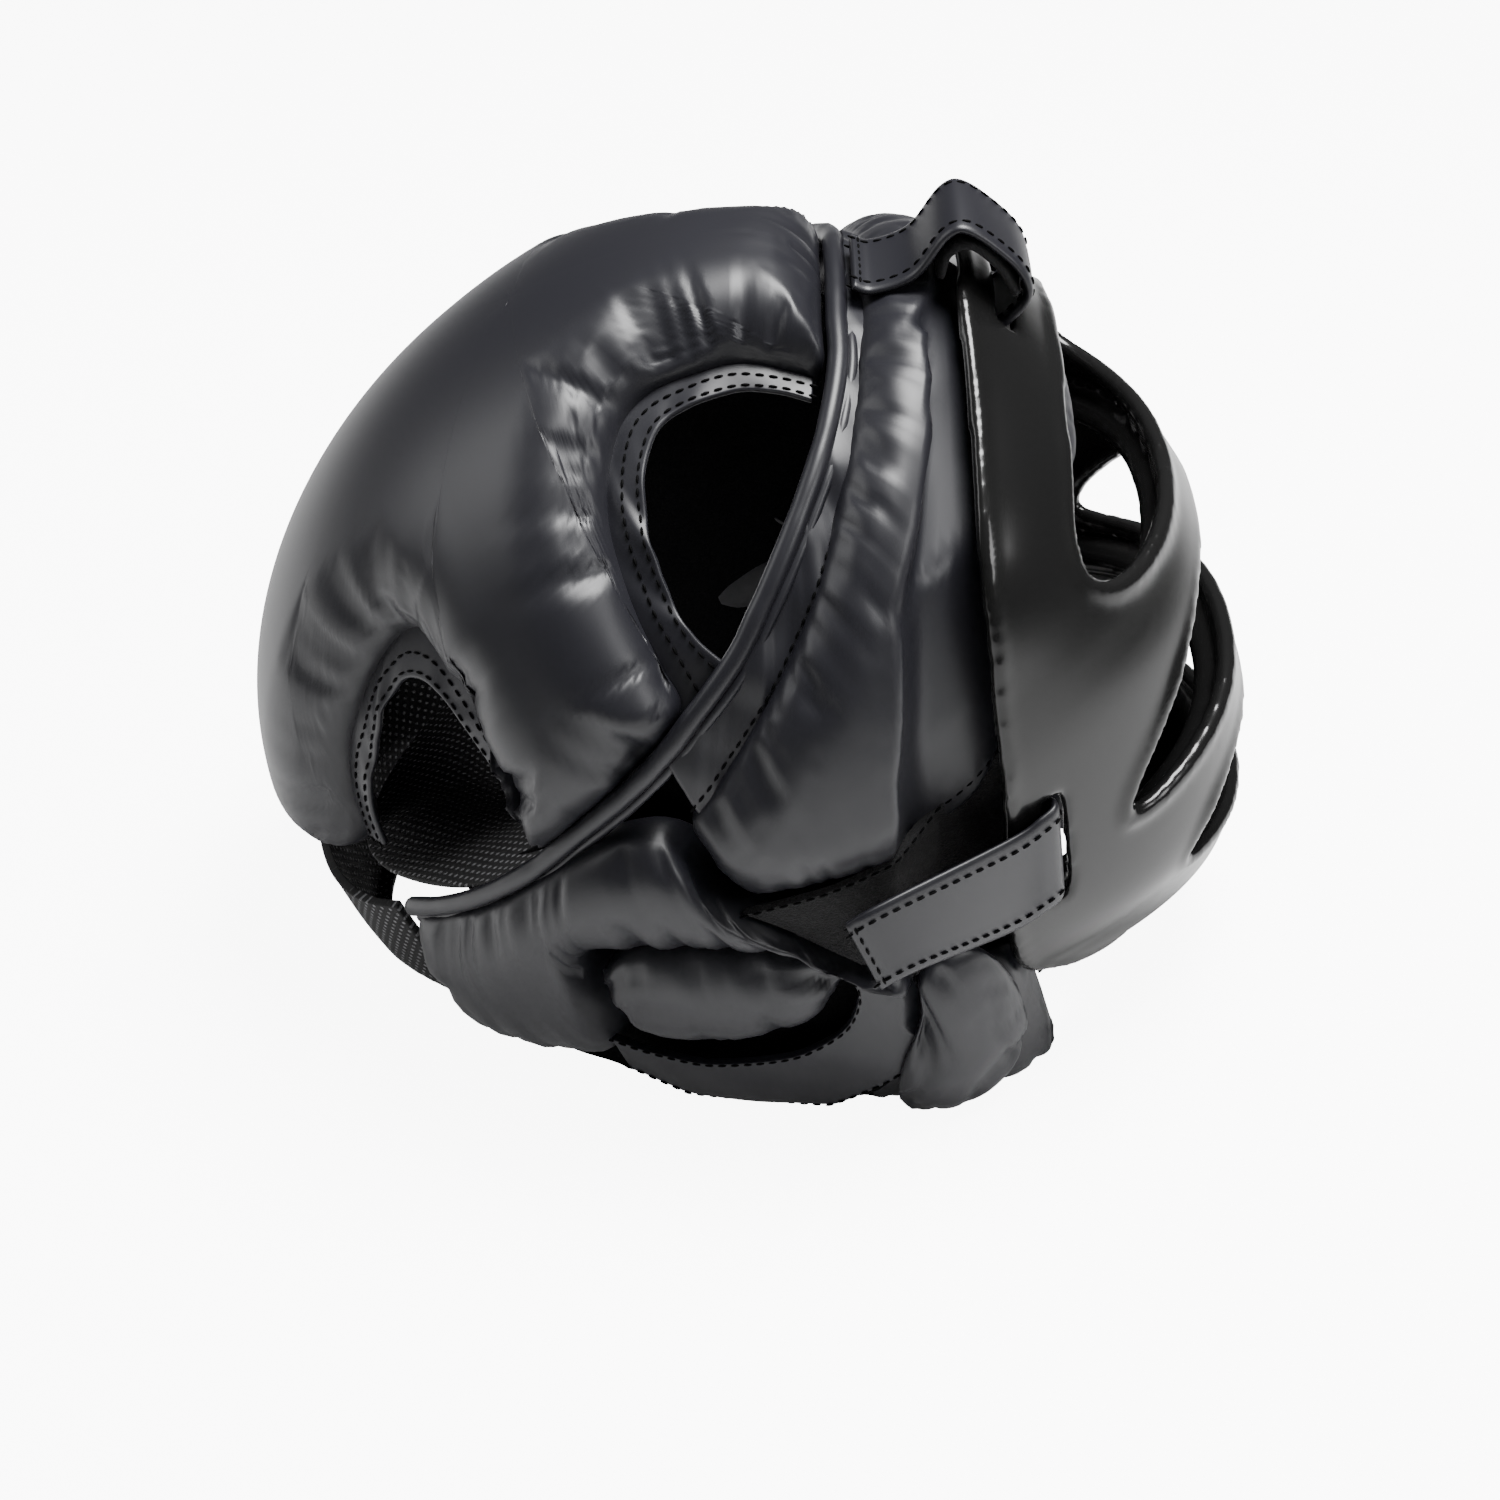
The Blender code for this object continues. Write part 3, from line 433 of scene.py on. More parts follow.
def away_from(points, line, along):
    """Distance of each point from a closed line, and where along it the nearest place is."""
    flat = points.reshape(-1, 3)
    nearest, place = np.full(len(flat), np.inf), np.zeros(len(flat))
    for start, end, run in zip(line, np.roll(line, -1, axis=0), along):
        leg = end - start
        part = np.clip((flat - start) @ leg / max(leg @ leg, 1e-12), 0, 1)
        gap = np.linalg.norm(flat - start - part[:, None] * leg, axis=1)
        closer = gap < nearest
        nearest[closer] = gap[closer]
        place[closer] = run + part[closer] * math.sqrt(leg @ leg)
    return nearest.reshape(points.shape[:-1]), place.reshape(points.shape[:-1])


def normals(grid, wrap=False):
    """Outward normals of a grid of points."""
    if wrap:
        along = np.roll(grid, -1, axis=0) - np.roll(grid, 1, axis=0)
    else:
        along = np.gradient(grid, axis=0)
    across = np.gradient(grid, axis=1)
    normal = np.cross(along, across)
    normal /= np.maximum(np.linalg.norm(normal, axis=-1, keepdims=True), 1e-12)
    facing = np.sign(np.sum(normal * (grid - CENTRE), axis=-1).mean())
    return normal * (facing or 1.0)


# Meshes

def mesh_of(name, points, faces, edges=()):
    """A mesh from points and faces."""
    mesh = bpy.data.meshes.new(name)
    mesh.from_pydata(np.asarray(points, float).tolist(), edges, faces)
    return mesh


def linked(name, data):
    """A new object in the scene."""
    made = bpy.data.objects.new(name, data)
    bpy.context.scene.collection.objects.link(made)
    return made


def add_piece(name, points, faces, finish, slot, uv=None, seam=None, level=0):
    """A piece of the headgear from points and faces, smooth, on the root body."""
    mesh = mesh_of(name, points, faces)
    mesh.validate()
    if uv is not None:
        corners = np.zeros(len(mesh.loops), int)
        mesh.loops.foreach_get("vertex_index", corners)
        layer = mesh.uv_layers.new(name="surface")
        layer.data.foreach_set("uv", np.asarray(uv, float)[corners].ravel())
    if seam is not None:
        mesh.attributes.new("seam", "FLOAT", "POINT").data.foreach_set("value", seam.ravel())
    piece = linked(name, mesh)
    mesh.materials.append(finish)
    mesh.shade_smooth()
    if level:
        finer = piece.modifiers.new("finer", "SUBSURF")
        finer.levels = finer.render_levels = level
    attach(piece, "root")
    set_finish(piece, slot)
    return piece


def shell(outer, inner, wrap=False):
    """Points and outward faces of a closed wall between two grids of the same size."""
    rows, columns = outer.shape[:2]
    top = np.arange(rows * columns).reshape(rows, columns)
    under = top + rows * columns
    points = np.vstack((outer.reshape(-1, 3), inner.reshape(-1, 3)))

    def quads(*corners):
        return np.stack(corners, -1).reshape(-1, 4)

    kept = slice(None) if wrap else slice(-1)
    here, after = top[kept], np.roll(top, -1, axis=0)[kept]
    low_here, low_after = under[kept], np.roll(under, -1, axis=0)[kept]
    faces = [quads(here[:, :-1], after[:, :-1], after[:, 1:], here[:, 1:]),
             quads(low_here[:, :-1], low_here[:, 1:], low_after[:, 1:], low_after[:, :-1]),
             quads(here[:, -1], after[:, -1], low_after[:, -1], low_here[:, -1])]
    extra = []
    if wrap:
        poles = [outer[:, 0].mean(axis=0), inner[:, 0].mean(axis=0)]
        count = len(points)
        points = np.vstack((points, poles))
        for i in range(rows):
            extra.append((count, int(after[i, 0]), int(here[i, 0])))
            extra.append((count + 1, int(low_here[i, 0]), int(low_after[i, 0])))
    else:
        faces.append(quads(after[:, 0], here[:, 0], low_here[:, 0], low_after[:, 0]))
        for row, flip in ((0, 1), (-1, -1)):
            line, low = top[row][::flip], under[row][::flip]
            faces.append(quads(line[:-1], line[1:], low[1:], low[:-1]))
    faces = np.vstack(faces)
    a, b, c = (points[faces[:, k]] for k in range(3))
    if np.einsum("ij,ij->", np.cross(a, b), c) < 0:
        faces = faces[:, ::-1]
        extra = [face[::-1] for face in extra]
    return points, faces.tolist() + [list(face) for face in extra]


def lengths_on(grid):
    """Arc lengths along the rows and across the columns, for a pattern on the surface."""
    along = run_along(grid[:, grid.shape[1] // 2])[:, None] + np.zeros(grid.shape[:2])
    steps = np.linalg.norm(np.diff(grid, axis=1), axis=-1)
    across = np.concatenate((np.zeros((len(grid), 1)), np.cumsum(steps, axis=1)), axis=1)
    across = across - across[:, -1:] / 2
    return np.stack((along, across), -1)


def finer_grid(grid, wrap):
    """A grid with a point added between each two, on a smooth curve through them."""
    for axis in (0, 1):
        grid = np.swapaxes(grid, 0, axis)
        if wrap and axis == 0:
            middle = (9 * (grid + np.roll(grid, -1, 0)) - np.roll(grid, 1, 0)
                      - np.roll(grid, -2, 0)) / 16
            grid = np.stack((grid, middle), 1).reshape(-1, *grid.shape[1:])
        else:
            ends = np.concatenate((2 * grid[:1] - grid[1:2], grid, 2 * grid[-1:] - grid[-2:-1]))
            middle = (9 * (ends[1:-2] + ends[2:-1]) - ends[:-3] - ends[3:]) / 16
            woven = np.empty((2 * len(grid) - 1, *grid.shape[1:]))
            woven[::2], woven[1::2] = grid, middle
            grid = woven
        grid = np.swapaxes(grid, 0, axis)
    return grid


def settle(outer, inner, held, seam, wrap=False):
    """Cloth pass on every second row and column, as a move for each point of the outer skin."""
    rough, rough_inner, pins = outer[::2, ::2], inner[::2, ::2], held[::2, ::2]
    points, faces = shell(rough, rough_inner, wrap)
    trial = linked("trial", mesh_of("trial", points, faces))
    group = trial.vertex_groups.new(name="held")
    weights = np.round(np.concatenate((pins.ravel(), np.ones(len(points) - pins.size))), 1)
    for level in np.unique(weights):
        group.add(np.flatnonzero(weights == level).tolist(), float(level), "REPLACE")
    s = sizes()
    cloth = trial.modifiers.new("cloth", "CLOTH")
    settings = cloth.settings
    settings.vertex_group_mass = "held"
    settings.use_pressure = True
    settings.uniform_pressure_force = s.puff_pressure
    settings.effector_weights.gravity = 0
    settings.shrink_min = settings.shrink_max = -s.puff_slack
    settings.quality = 5
    settings.bending_stiffness = 0.3
    cloth.collision_settings.use_collision = False
    scene = bpy.context.scene
    for number in range(1, CLOTH_FRAMES + 1):
        scene.frame_set(number)
    graph = bpy.context.evaluated_depsgraph_get()
    result = trial.evaluated_get(graph).to_mesh()
    moved = np.zeros(len(points) * 3)
    result.vertices.foreach_get("co", moved)
    scene.frame_set(1)
    bpy.data.objects.remove(trial, do_unlink=True)
    change = moved.reshape(-1, 3)[:pins.size].reshape(rough.shape) - rough
    size = np.linalg.norm(change, axis=-1, keepdims=True)
    change = change / np.maximum(size, 1e-9) * s.puff_cap * np.tanh(size / s.puff_cap)
    near = np.exp(-(seam / (2 * s.gather_reach)) ** 2)[..., None]
    return finer_grid(change, wrap) * near


def roll(distance, width):
    """How far a pad has risen at a distance from its seam, quarter round, from 0 to 1."""
    share = np.clip(distance / width, 0, 1)
    return np.sqrt(np.maximum(1 - (1 - share) ** 2, 0))


def gathers(along, distance, seed, strength=1.0):
    """Depth of the creases that a seam draws into a pad, across the seam."""
    s = sizes()
    folds = ripple(along, s.gather_pitch, seed)
    folds = folds + 0.5 * ripple(along, s.gather_pitch / 2.1, seed + 7)
    groups = 0.35 + 0.65 * np.clip(ripple(along, s.gather_pitch * 7, seed + 3) + 0.4, 0, 1)
    share = distance / s.gather_reach
    fade = np.clip(share / 0.25, 0, 1) * np.exp(-share ** 2)
    return strength * s.gather_depth * np.maximum(folds + 0.2, 0) * groups * fade * 1.6


# Padded pieces

def soft_piece(name, outer, inner, seam, wrap=False, pressed=None):
    """A padded piece: cloth pass, then its outer skin closed to its inner one."""
    held = np.clip(1 - seam / HOLD_WIDTH, 0, 1)
    moved = outer + settle(outer, inner, held, seam, wrap)
    if pressed is not None:
        moved = press(moved, pressed)
    moved = rest(moved)
    points, faces = shell(moved, inner, wrap)
    seams = np.concatenate((seam.ravel(), np.zeros(len(points) - seam.size)))
    piece = add_piece(name, points, faces, leather(), "leather", seam=seams)
    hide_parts(name)
    return piece


def mirrored(piece, name):
    """The same piece on the wearer's left."""
    mesh = piece.data.copy()
    mesh.name = name
    places = np.zeros(len(mesh.vertices) * 3)
    mesh.vertices.foreach_get("co", places)
    places[1::3] *= -1
    mesh.vertices.foreach_set("co", places)
    mesh.flip_normals()
    copy = linked(name, mesh)
    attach(copy, "root")
    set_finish(copy, piece["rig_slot"])
    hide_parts(name)
    return copy


def ruled(rows, stations, across, overlap=0.0, mirrored_end=False, blunt=(0.0, 0.0)):
    """Azimuths and latitudes over a ruled patch, its corners rounded at blunt ends."""
    table = np.asarray(rows, float)
    if mirrored_end:
        table = np.vstack((table[:0:-1] * (-1, 1, -1, 1), table))
    table = smooth_rows(table, stations)
    middle = on_form((table[:, 0] + table[:, 2]) / 2, (table[:, 1] + table[:, 3]) / 2)
    run = run_along(middle)
    span = np.linalg.norm(on_form(table[:, 0], table[:, 1]) - on_form(table[:, 2], table[:, 3]),
                          axis=-1)
    width = np.ones(stations)
    for distance, bluntness in ((run, blunt[0]), (run[-1] - run, blunt[1])):
        if bluntness:
            width *= np.maximum(roll(distance + 0.0004, bluntness), 0.05)
    share = 0.5 - 0.5 * np.cos(np.linspace(0, math.pi, across))
    share = 0.5 + (share[None, :] - 0.5) * (width * (1 + 2 * overlap / span))[:, None]
    return between(table, share)


def padding(crest, thick, edge_depth, distance):
    """Inner skin of a pad, from a thin wall at its seam to its full thickness."""
    wall = LEATHER + (thick - edge_depth - LEATHER) * roll(distance, WALL_REACH)
    return inward(crest, edge_depth + np.maximum(wall, THIN_WALL))


def ruled_pad(name, rows, thick, edge_depth, lift=0.0, step=0.0016, overlap=0.0012, seed=1,
              mirrored_end=False, blunt=(0.0, 0.0), pressed=True, gather=1.0, reach=None):
    """A padded patch between two lines on the form, rolled down to its seams."""
    rough = on_form(*ruled(rows, 60, 9, 0.0, mirrored_end), lift)
    long_way = run_along(rough[:, 4])[-1]
    short_way = np.median(np.linalg.norm(np.diff(rough, axis=1), axis=-1).sum(axis=1))
    stations = 2 * int(long_way / step / 2) + 1
    across = 2 * int(max(short_way / step, 16) / 2) + 1
    azimuth, latitude = ruled(rows, stations, across, overlap, mirrored_end, blunt)
    crest = on_form(azimuth, latitude, lift)
    steps = np.linalg.norm(np.diff(crest, axis=1), axis=-1)
    run = np.concatenate((np.zeros((stations, 1)), np.cumsum(steps, axis=1)), axis=1)
    to_seam = np.minimum(run, run[:, -1:] - run)
    along = run_along(crest[:, across // 2])[:, None] + 0 * run
    to_end = np.minimum(along, along[-1:] - along)
    reach = reach or min(PAD_PUFF, float(np.median(run[:, -1])) / 2)
    rise = roll(to_seam, reach) * roll(to_end, reach)
    nearest = np.minimum(to_seam, to_end)
    side = np.where(run < run[:, -1:] / 2, 0, 1)
    creases = gathers(along + side * 0.5, to_seam, seed, gather)
    creases = creases + gathers(run, to_end, seed + 20, gather * 0.7)
    outer = inward(crest, edge_depth * (1 - rise) + creases)
    inner = padding(crest, thick, edge_depth, nearest)
    if pressed:
        outer, inner = press(outer, -lift), press(inner, thick - lift)
    outer, inner = rest(outer), rest(inner, thick * REST_SHARE)
    return soft_piece(name, outer, inner, nearest, pressed=-lift if pressed else None)


def crown_ring(count):
    """The crown pad's outline, both sides, with its points evenly spaced along it."""
    right = np.asarray(CROWN_EDGE, float)
    ring = np.vstack((right, right[-2:0:-1] * (-1, 1)))
    chart = (90 - ring[:, 1])[:, None] * np.stack((np.cos(np.radians(ring[:, 0])),
                                                   np.sin(np.radians(ring[:, 0]))), -1)
    closed = np.vstack((chart[-2:], chart, chart[:3]))
    fine = smooth_rows(closed, (len(closed) - 1) * 24 + 1)[2 * 24:-(3 * 24) + 24 + 1]
    azimuth, latitude = np.degrees(np.arctan2(fine[:, 1], fine[:, 0])), 90 - np.hypot(*fine.T)
    run = run_along(on_form(azimuth, latitude))
    places = np.linspace(0, run[-1], count, endpoint=False)
    chart = np.stack([np.interp(places, run, fine[:, k]) for k in (0, 1)], -1)
    return chart, places


def crown_pad():
    """The cross-shaped crown pad, four legs round the pole of the form."""
    chart, along = crown_ring(440)
    share = 1 - (1 - np.linspace(0.01, 1, 65)) ** 1.45
    places = chart[:, None, :] * share[None, :, None]
    azimuth = np.degrees(np.arctan2(places[..., 1], places[..., 0]))
    crest = on_form(azimuth, 90 - np.linalg.norm(places, axis=-1))
    distance, place = away_from(crest, crest[:, -1], along)
    depth = BAND_DEPTH * (1 - roll(distance, PAD_PUFF)) + gathers(place, distance, 5)
    soft_piece("crown_pad", press(inward(crest, depth)),
               padding(crest, PAD_THICK, BAND_DEPTH, distance), distance, wrap=True)


# Flat leather

STITCHES = []


def sew(line):
    """Keeps a line of stitches for the sewing, with its points close together."""
    STITCHES.append(evenly(np.asarray(line, float), STITCH_STEP))


def sewn(face, column):
    """The line of a sheet's column, lifted to carry the thread."""
    return (face + normals(face) * sizes().thread_radius * 0.5)[:, column]


def sew_both_sides(face, columns):
    """Stitches along columns of a right-hand sheet and of its mirrored copy."""
    for column in columns:
        line = sewn(face, column)
        sew(line)
        sew(line * (1, -1, 1))


def flat_piece(name, outer, thick, finish, slot, nodes, planar=False):
    """A sheet with its thickness set inward from its face."""
    inner = outer - normals(outer) * thick
    points, faces = shell(outer, inner)
    uv = (outer[..., :2] if planar else lengths_on(outer)).reshape(-1, 2)
    piece = add_piece(name, points, faces, finish, slot, uv=np.vstack((uv, uv)), level=1)
    if nodes:
        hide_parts(*nodes)
    return piece


def leather_sheet(name, azimuth, latitude, lift, thick, finish, slot, nodes=(), wave=0.0,
                  wave_pitch=0.012, seed=3, pressed=None, free_edge=None):
    """A sheet on the form, with soft waves that grow toward its free edge."""
    face = on_form(azimuth, latitude, lift)
    if pressed is not None:
        face = press(face, pressed)
    lengths = lengths_on(face)
    height = wave * crumple(lengths[..., 0], lengths[..., 1], wave_pitch, seed)
    if free_edge is not None:
        height = height * (0.15 + np.linspace(*free_edge, face.shape[1])[None, :] ** 1.5)
    face = rest(face + normals(face) * height[..., None], thick)
    return flat_piece(name, face, thick, finish, slot, nodes), face


def hole_bands():
    """Stitched leather borders of the four crown holes."""
    for place, rows in (("front_", FRONT_HOLE_ROWS), ("rear_", REAR_HOLE_ROWS)):
        azimuth, latitude = between(smooth_rows(rows, 150), np.linspace(-0.45, 1.12, 17)[None, :])
        name = "hole_band_" + place + "right"
        piece, face = leather_sheet(name, azimuth, latitude, -BAND_DEPTH + 0.0006, LEATHER * 0.8,
                                    leather(), "leather", (name,), wave=0.0026,
                                    wave_pitch=0.013, seed=31, free_edge=(0.0, 1.0))
        copy_sheet(piece, name.replace("right", "left"))
        sew_both_sides(face, (9, 14))


def copy_sheet(piece, name):
    """The mirrored copy of a right-hand sheet, with its subdivision copied too."""
    copy = mirrored(piece, name)
    for modifier in piece.modifiers:
        finer = copy.modifiers.new(modifier.name, modifier.type)
        finer.levels = finer.render_levels = modifier.levels


def sleeve(rings, sides, wrap=False):
    """Faces of a tube of rings, capped at its ends unless it closes on itself."""
    index = np.arange(rings * sides).reshape(rings, sides)
    after = np.roll(index, -1, axis=0) if wrap else index[1:]
    here = index if wrap else index[:-1]
    faces = np.stack((here, np.roll(here, -1, 1), np.roll(after, -1, 1), after), -1)
    faces = faces.reshape(-1, 4).tolist()
    return faces if wrap else faces + [index[0][::-1].tolist(), index[-1].tolist()]


def tube(path, radius, sides=10, wrap=False):
    """Points and outward faces of a round cord along a path, capped at its ends."""
    path = np.asarray(path, float)
    if wrap:
        tangent = np.roll(path, -1, 0) - np.roll(path, 1, 0)
    else:
        tangent = np.gradient(path, axis=0)
    tangent /= np.linalg.norm(tangent, axis=1, keepdims=True)
    first = path - CENTRE
    first -= np.sum(first * tangent, axis=1, keepdims=True) * tangent
    first /= np.linalg.norm(first, axis=1, keepdims=True)
    second = np.cross(tangent, first)
    angle = np.linspace(0, 2 * math.pi, sides, endpoint=False)
    radius = np.broadcast_to(np.asarray(radius, float), (len(path),))[:, None, None]
    rings = (path[:, None] + radius * (np.cos(angle)[None, :, None] * first[:, None]
                                       + np.sin(angle)[None, :, None] * second[:, None]))
    return rings.reshape(-1, 3), sleeve(len(path), sides, wrap)


def joined(parts):
    """Several meshes of points and faces as one."""
    points, faces, count = [], [], 0
    for part_points, part_faces in parts:
        points.append(part_points)
        faces += [[corner + count for corner in face] for face in part_faces]
        count += len(part_points)
    return np.vstack(points), faces


# Shield

def shield_ring(height):
    """Reach, half width and rear edge of the shield's ring at a height share."""
    shares = np.array(SHIELD_RINGS)[::-1]
    reach = np.interp(height, shares[:, 0], shares[:, 1]) * SHIELD_REACH
    width = np.interp(height, shares[:, 0], shares[:, 2]) * SHIELD_HALF_WIDTH
    return reach, width, np.interp(height, shares[:, 0], shares[:, 3]) * reach


def shield_height(share):
    share = np.asarray(share, float)
    return np.where(share >= 0, share * SHIELD_UP, share * SHIELD_DOWN)


def place_shield(local):
    """Shield frame to the standing part's frame."""
    return turn(local, SHIELD_PITCH) + CENTRE


def shield_spot(share, inset, side, lift=0.0):
    """A place on the shield's outer surface, set in from its rear edge along the ring."""
    reach, width, rear = shield_ring(share)
    edge = math.acos(min(rear / reach, 1) ** (SHIELD_SQUARE / 2))
    angle = edge - inset / ((reach + width) / 2)
    power = 2 / SHIELD_SQUARE
    forward = (reach + lift) * math.cos(angle) ** power
    sideways = (width + lift) * abs(math.sin(angle)) ** power
    return place_shield(np.array((forward, -side * sideways, float(shield_height(share)))))


def squared_ring(turns):
    """Forward and sideways shares of a squared ring at its turns."""
    power = 2 / SHIELD_SQUARE
    return np.stack((np.cos(turns) ** power, np.sign(turns) * np.abs(np.sin(turns)) ** power), -1)


def shield_grid(lift, rows=84, columns=110):
    """Grid on the shield's surface, lifted off it; rows run top to bottom."""
    grid = []
    for share, reach, width, rear in smooth_rows(SHIELD_RINGS, rows):
        edge = math.acos(min(rear, 1) ** (SHIELD_SQUARE / 2))
        out = squared_ring(np.linspace(-edge, edge, columns))
        height = np.full(columns, shield_height(min(max(share, -1), 1)))
        grid.append(np.stack(((reach * SHIELD_REACH + lift) * out[:, 0],
                              -(width * SHIELD_HALF_WIDTH + lift) * out[:, 1], height), -1))
    return place_shield(np.array(grid))


def outline(half_outline, count=40):
    """A closed outline from its right half: distance from the midline and height shares."""
    line = smooth_rows(half_outline, count)
    line[:, 0] = np.maximum(line[:, 0], 0)
    return np.vstack((line, line[-2:0:-1] * (-1, 1)))


def rim_path(whole):
    """The outline laid on the middle of the shield's wall."""
    reach, width = shield_ring(whole[:, 1])[:2]
    sideways = whole[:, 0] * SHIELD_HALF_WIDTH
    inside = np.clip(1 - (np.abs(sideways) / width) ** SHIELD_SQUARE, 0, 1)
    forward = reach * inside ** (1 / SHIELD_SQUARE) - SHIELD_THICK / 2
    return place_shield(np.stack((forward, sideways, shield_height(whole[:, 1])), -1))


def cutter(name, loops):
    """Prism between two matching loops, for cutting."""
    mesh = mesh_of(name, np.vstack(loops), sleeve(2, len(loops[0])))
    outward(mesh)
    return linked(name, mesh)


def outward(mesh):
    """Turns a closed mesh's faces outward."""
    bm = bmesh.new()
    bm.from_mesh(mesh)
    bmesh.ops.recalc_face_normals(bm, faces=bm.faces)
    bm.to_mesh(mesh)
    bm.free()


def bar(drop, spread):
    """Rounded bar swept along the shield's ring at a drop under its centre."""
    reach, width = shield_ring(-drop / SHIELD_DOWN)[:2]
    stations, sides = 70, 20
    out = squared_ring(np.linspace(-spread, spread, stations))
    section = np.linspace(0, 2 * math.pi, sides, endpoint=False)
    deep = BAR_DEPTH / 2 * (np.cos(section) - 1)
    forward = (reach + deep)[None, :] * out[:, :1]
    sideways = (width + deep)[None, :] * out[:, 1:]
    height = -drop + BAR_HEIGHT / 2 * np.sin(section)[None, :] + 0 * forward
    rings = place_shield(np.stack((forward, sideways, height), -1))
    return rings.reshape(-1, 3), sleeve(stations, sides)


def slot_loops(centre, along, out, length):
    """Two rectangles, inside and outside the shield's wall, that bound a slot."""
    along = along / np.linalg.norm(along)
    out = out / np.linalg.norm(out)
    across = np.cross(out, along)
    return [[centre + (along * i * length + across * j * SLOT_WIDTH) / 2 + out * k * 0.012
             for i, j in ((-1, -1), (1, -1), (1, 1), (-1, 1))] for k in (-1, 1)]


def slot_share(distance):
    """Height share of a place at a distance below the side slot's top."""
    return -(SIDE_SLOT_TOP + distance) / SHIELD_DOWN


def brow_slot():
    """Centre of the brow slot on the shield's outer face, in the shield's frame."""
    share = 1 - BROW_SLOT_DROP / SHIELD_UP
    return np.array((shield_ring(share)[0], 0, float(shield_height(share))))


def face_cage():
    """Moulded shield: bowl with three beaded openings, two bars and slots, fused and rounded."""
    s = sizes()
    mesh = mesh_of("face_cage_shell", *shell(shield_grid(-SKIN_INSET),
                                             shield_grid(SKIN_INSET - SHIELD_THICK)))
    outward(mesh)
    cage = linked("face_cage_moulded", mesh)
    tools = []
    beads = [bar(drop, spread) for drop, spread in SHIELD_BARS]
    for name, half in (("eye", EYE_OPENING), ("nose", NOSE_OPENING), ("mouth", MOUTH_OPENING)):
        whole = outline(half)
        sideways, height = whole[:, 0] * SHIELD_HALF_WIDTH, shield_height(whole[:, 1])
        loops = [place_shield(np.stack((np.full(len(height), ahead * SHIELD_REACH), sideways,
                                        height), -1)) for ahead in (0.16, 1.3)]
        tools.append(cutter(name, loops))
        beads.append(tube(rim_path(whole), s.rim_radius, 12, wrap=True))
    for side, word in SIDES:
        upper = shield_spot(slot_share(0), SLOT_INSET, side)
        lower = shield_spot(slot_share(SLOT_LENGTH), SLOT_INSET, side)
        middle = (upper + lower) / 2
        inside = shield_spot(slot_share(SLOT_LENGTH / 2), SLOT_INSET, side,
                             -SHIELD_HALF_WIDTH / 2)
        tools.append(cutter("slot_" + word, slot_loops(middle, lower - upper, middle - inside,
                                                       np.linalg.norm(lower - upper))))
    centre = place_shield(brow_slot() - (SHIELD_THICK / 2, 0, 0))
    rise = turn(np.array((1.0, 0, BROW_SLOT_RISE)), SHIELD_PITCH)
    tools.append(cutter("slot_brow", slot_loops(centre, np.array((0, 1.0, 0)), rise,
                                                STRAP_WIDTH + SLOT_ROOM)))
    for tool in tools:
        cut = cage.modifiers.new(tool.name, "BOOLEAN")
        cut.operation, cut.object, cut.solver = "DIFFERENCE", tool, "EXACT"
    plain = plain_mesh(cage)
    for tool in tools:
        bpy.data.objects.remove(tool, do_unlink=True)
    bpy.data.objects.remove(cage, do_unlink=True)
    edge = shield_grid(-SHIELD_THICK / 2, columns=60)
    around = np.vstack((edge[:, 0], edge[-1, 1:-1], edge[::-1, -1], edge[0, -2:0:-1]))
    around = evenly(np.vstack((around, around[:1])), BEAD_STEP)[:-1]
    beads.append(tube(around, EDGE_BEAD_RADIUS, wrap=True))
    body = [list(polygon.vertices) for polygon in plain.polygons]
    places = np.array([vertex.co for vertex in plain.vertices])
    points, faces = joined([(places, body)] + beads)
    piece = add_piece("moulded_shield", points, faces, plastic(), "plastic")
    fused = piece.modifiers.new("fused", "REMESH")
    fused.mode, fused.voxel_size = "VOXEL", s.shield_voxel
    fused.use_smooth_shade = True
    rounded = piece.modifiers.new("rounded", "SMOOTH")
    rounded.factor, rounded.iterations = 0.5, 8
    finished = plain_mesh(piece)
    piece.modifiers.clear()
    piece.data = finished
    finished.materials.clear()
    finished.materials.append(plastic())
    finished.shade_smooth()
    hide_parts("face_cage")


def plain_mesh(obj):
    """The object's mesh with its modifiers applied."""
    graph = bpy.context.evaluated_depsgraph_get()
    graph.update()
    return bpy.data.meshes.new_from_object(obj.evaluated_get(graph))


# Straps

def ribbon(name, rows, stations, nodes=(), across=9, finish=None):
    """A strap through pairs of edge points, its thickness to both sides."""
    table = smooth_rows(np.asarray(rows, float).reshape(len(rows), 6), stations)
    edges = table.reshape(stations, 2, 3)
    share = np.linspace(0, 1, across)[None, :, None]
    face = edges[:, :1] * (1 - share) + edges[:, 1:] * share
    along = np.gradient(face, axis=0)
    sideways = edges[:, 1:] - edges[:, :1] + 0 * face
    normal = np.cross(along, sideways)
    normal /= np.linalg.norm(normal, axis=-1, keepdims=True)
    crown = 0.0004 * np.sin(np.linspace(0, math.pi, across))[None, :, None]
    top, under = face + normal * (STRAP_THICK / 2 + crown), face - normal * STRAP_THICK / 2
    points, faces = shell(top, under)
    uv = lengths_on(face).reshape(-1, 2)
    piece = add_piece(name + "_strap", points, faces, finish or leather(),
                      "loop_pile" if finish else "leather", uv=np.vstack((uv, uv)), level=1)
    outward(piece.data)
    if nodes:
        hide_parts(*nodes)
    return face, normal


def sew_ribbon(face, normal, ends):
    """Stitches round a strap's border on both its sides."""
    columns = (1, face.shape[1] - 2)
    for sign in (1, -1):
        shown = face + normal * sign * (STRAP_THICK / 2 + 0.0003)
        for column in columns:
            sew(shown[:, column])
        for row in ends:
            sew(shown[row, columns[0]:columns[1] + 1])


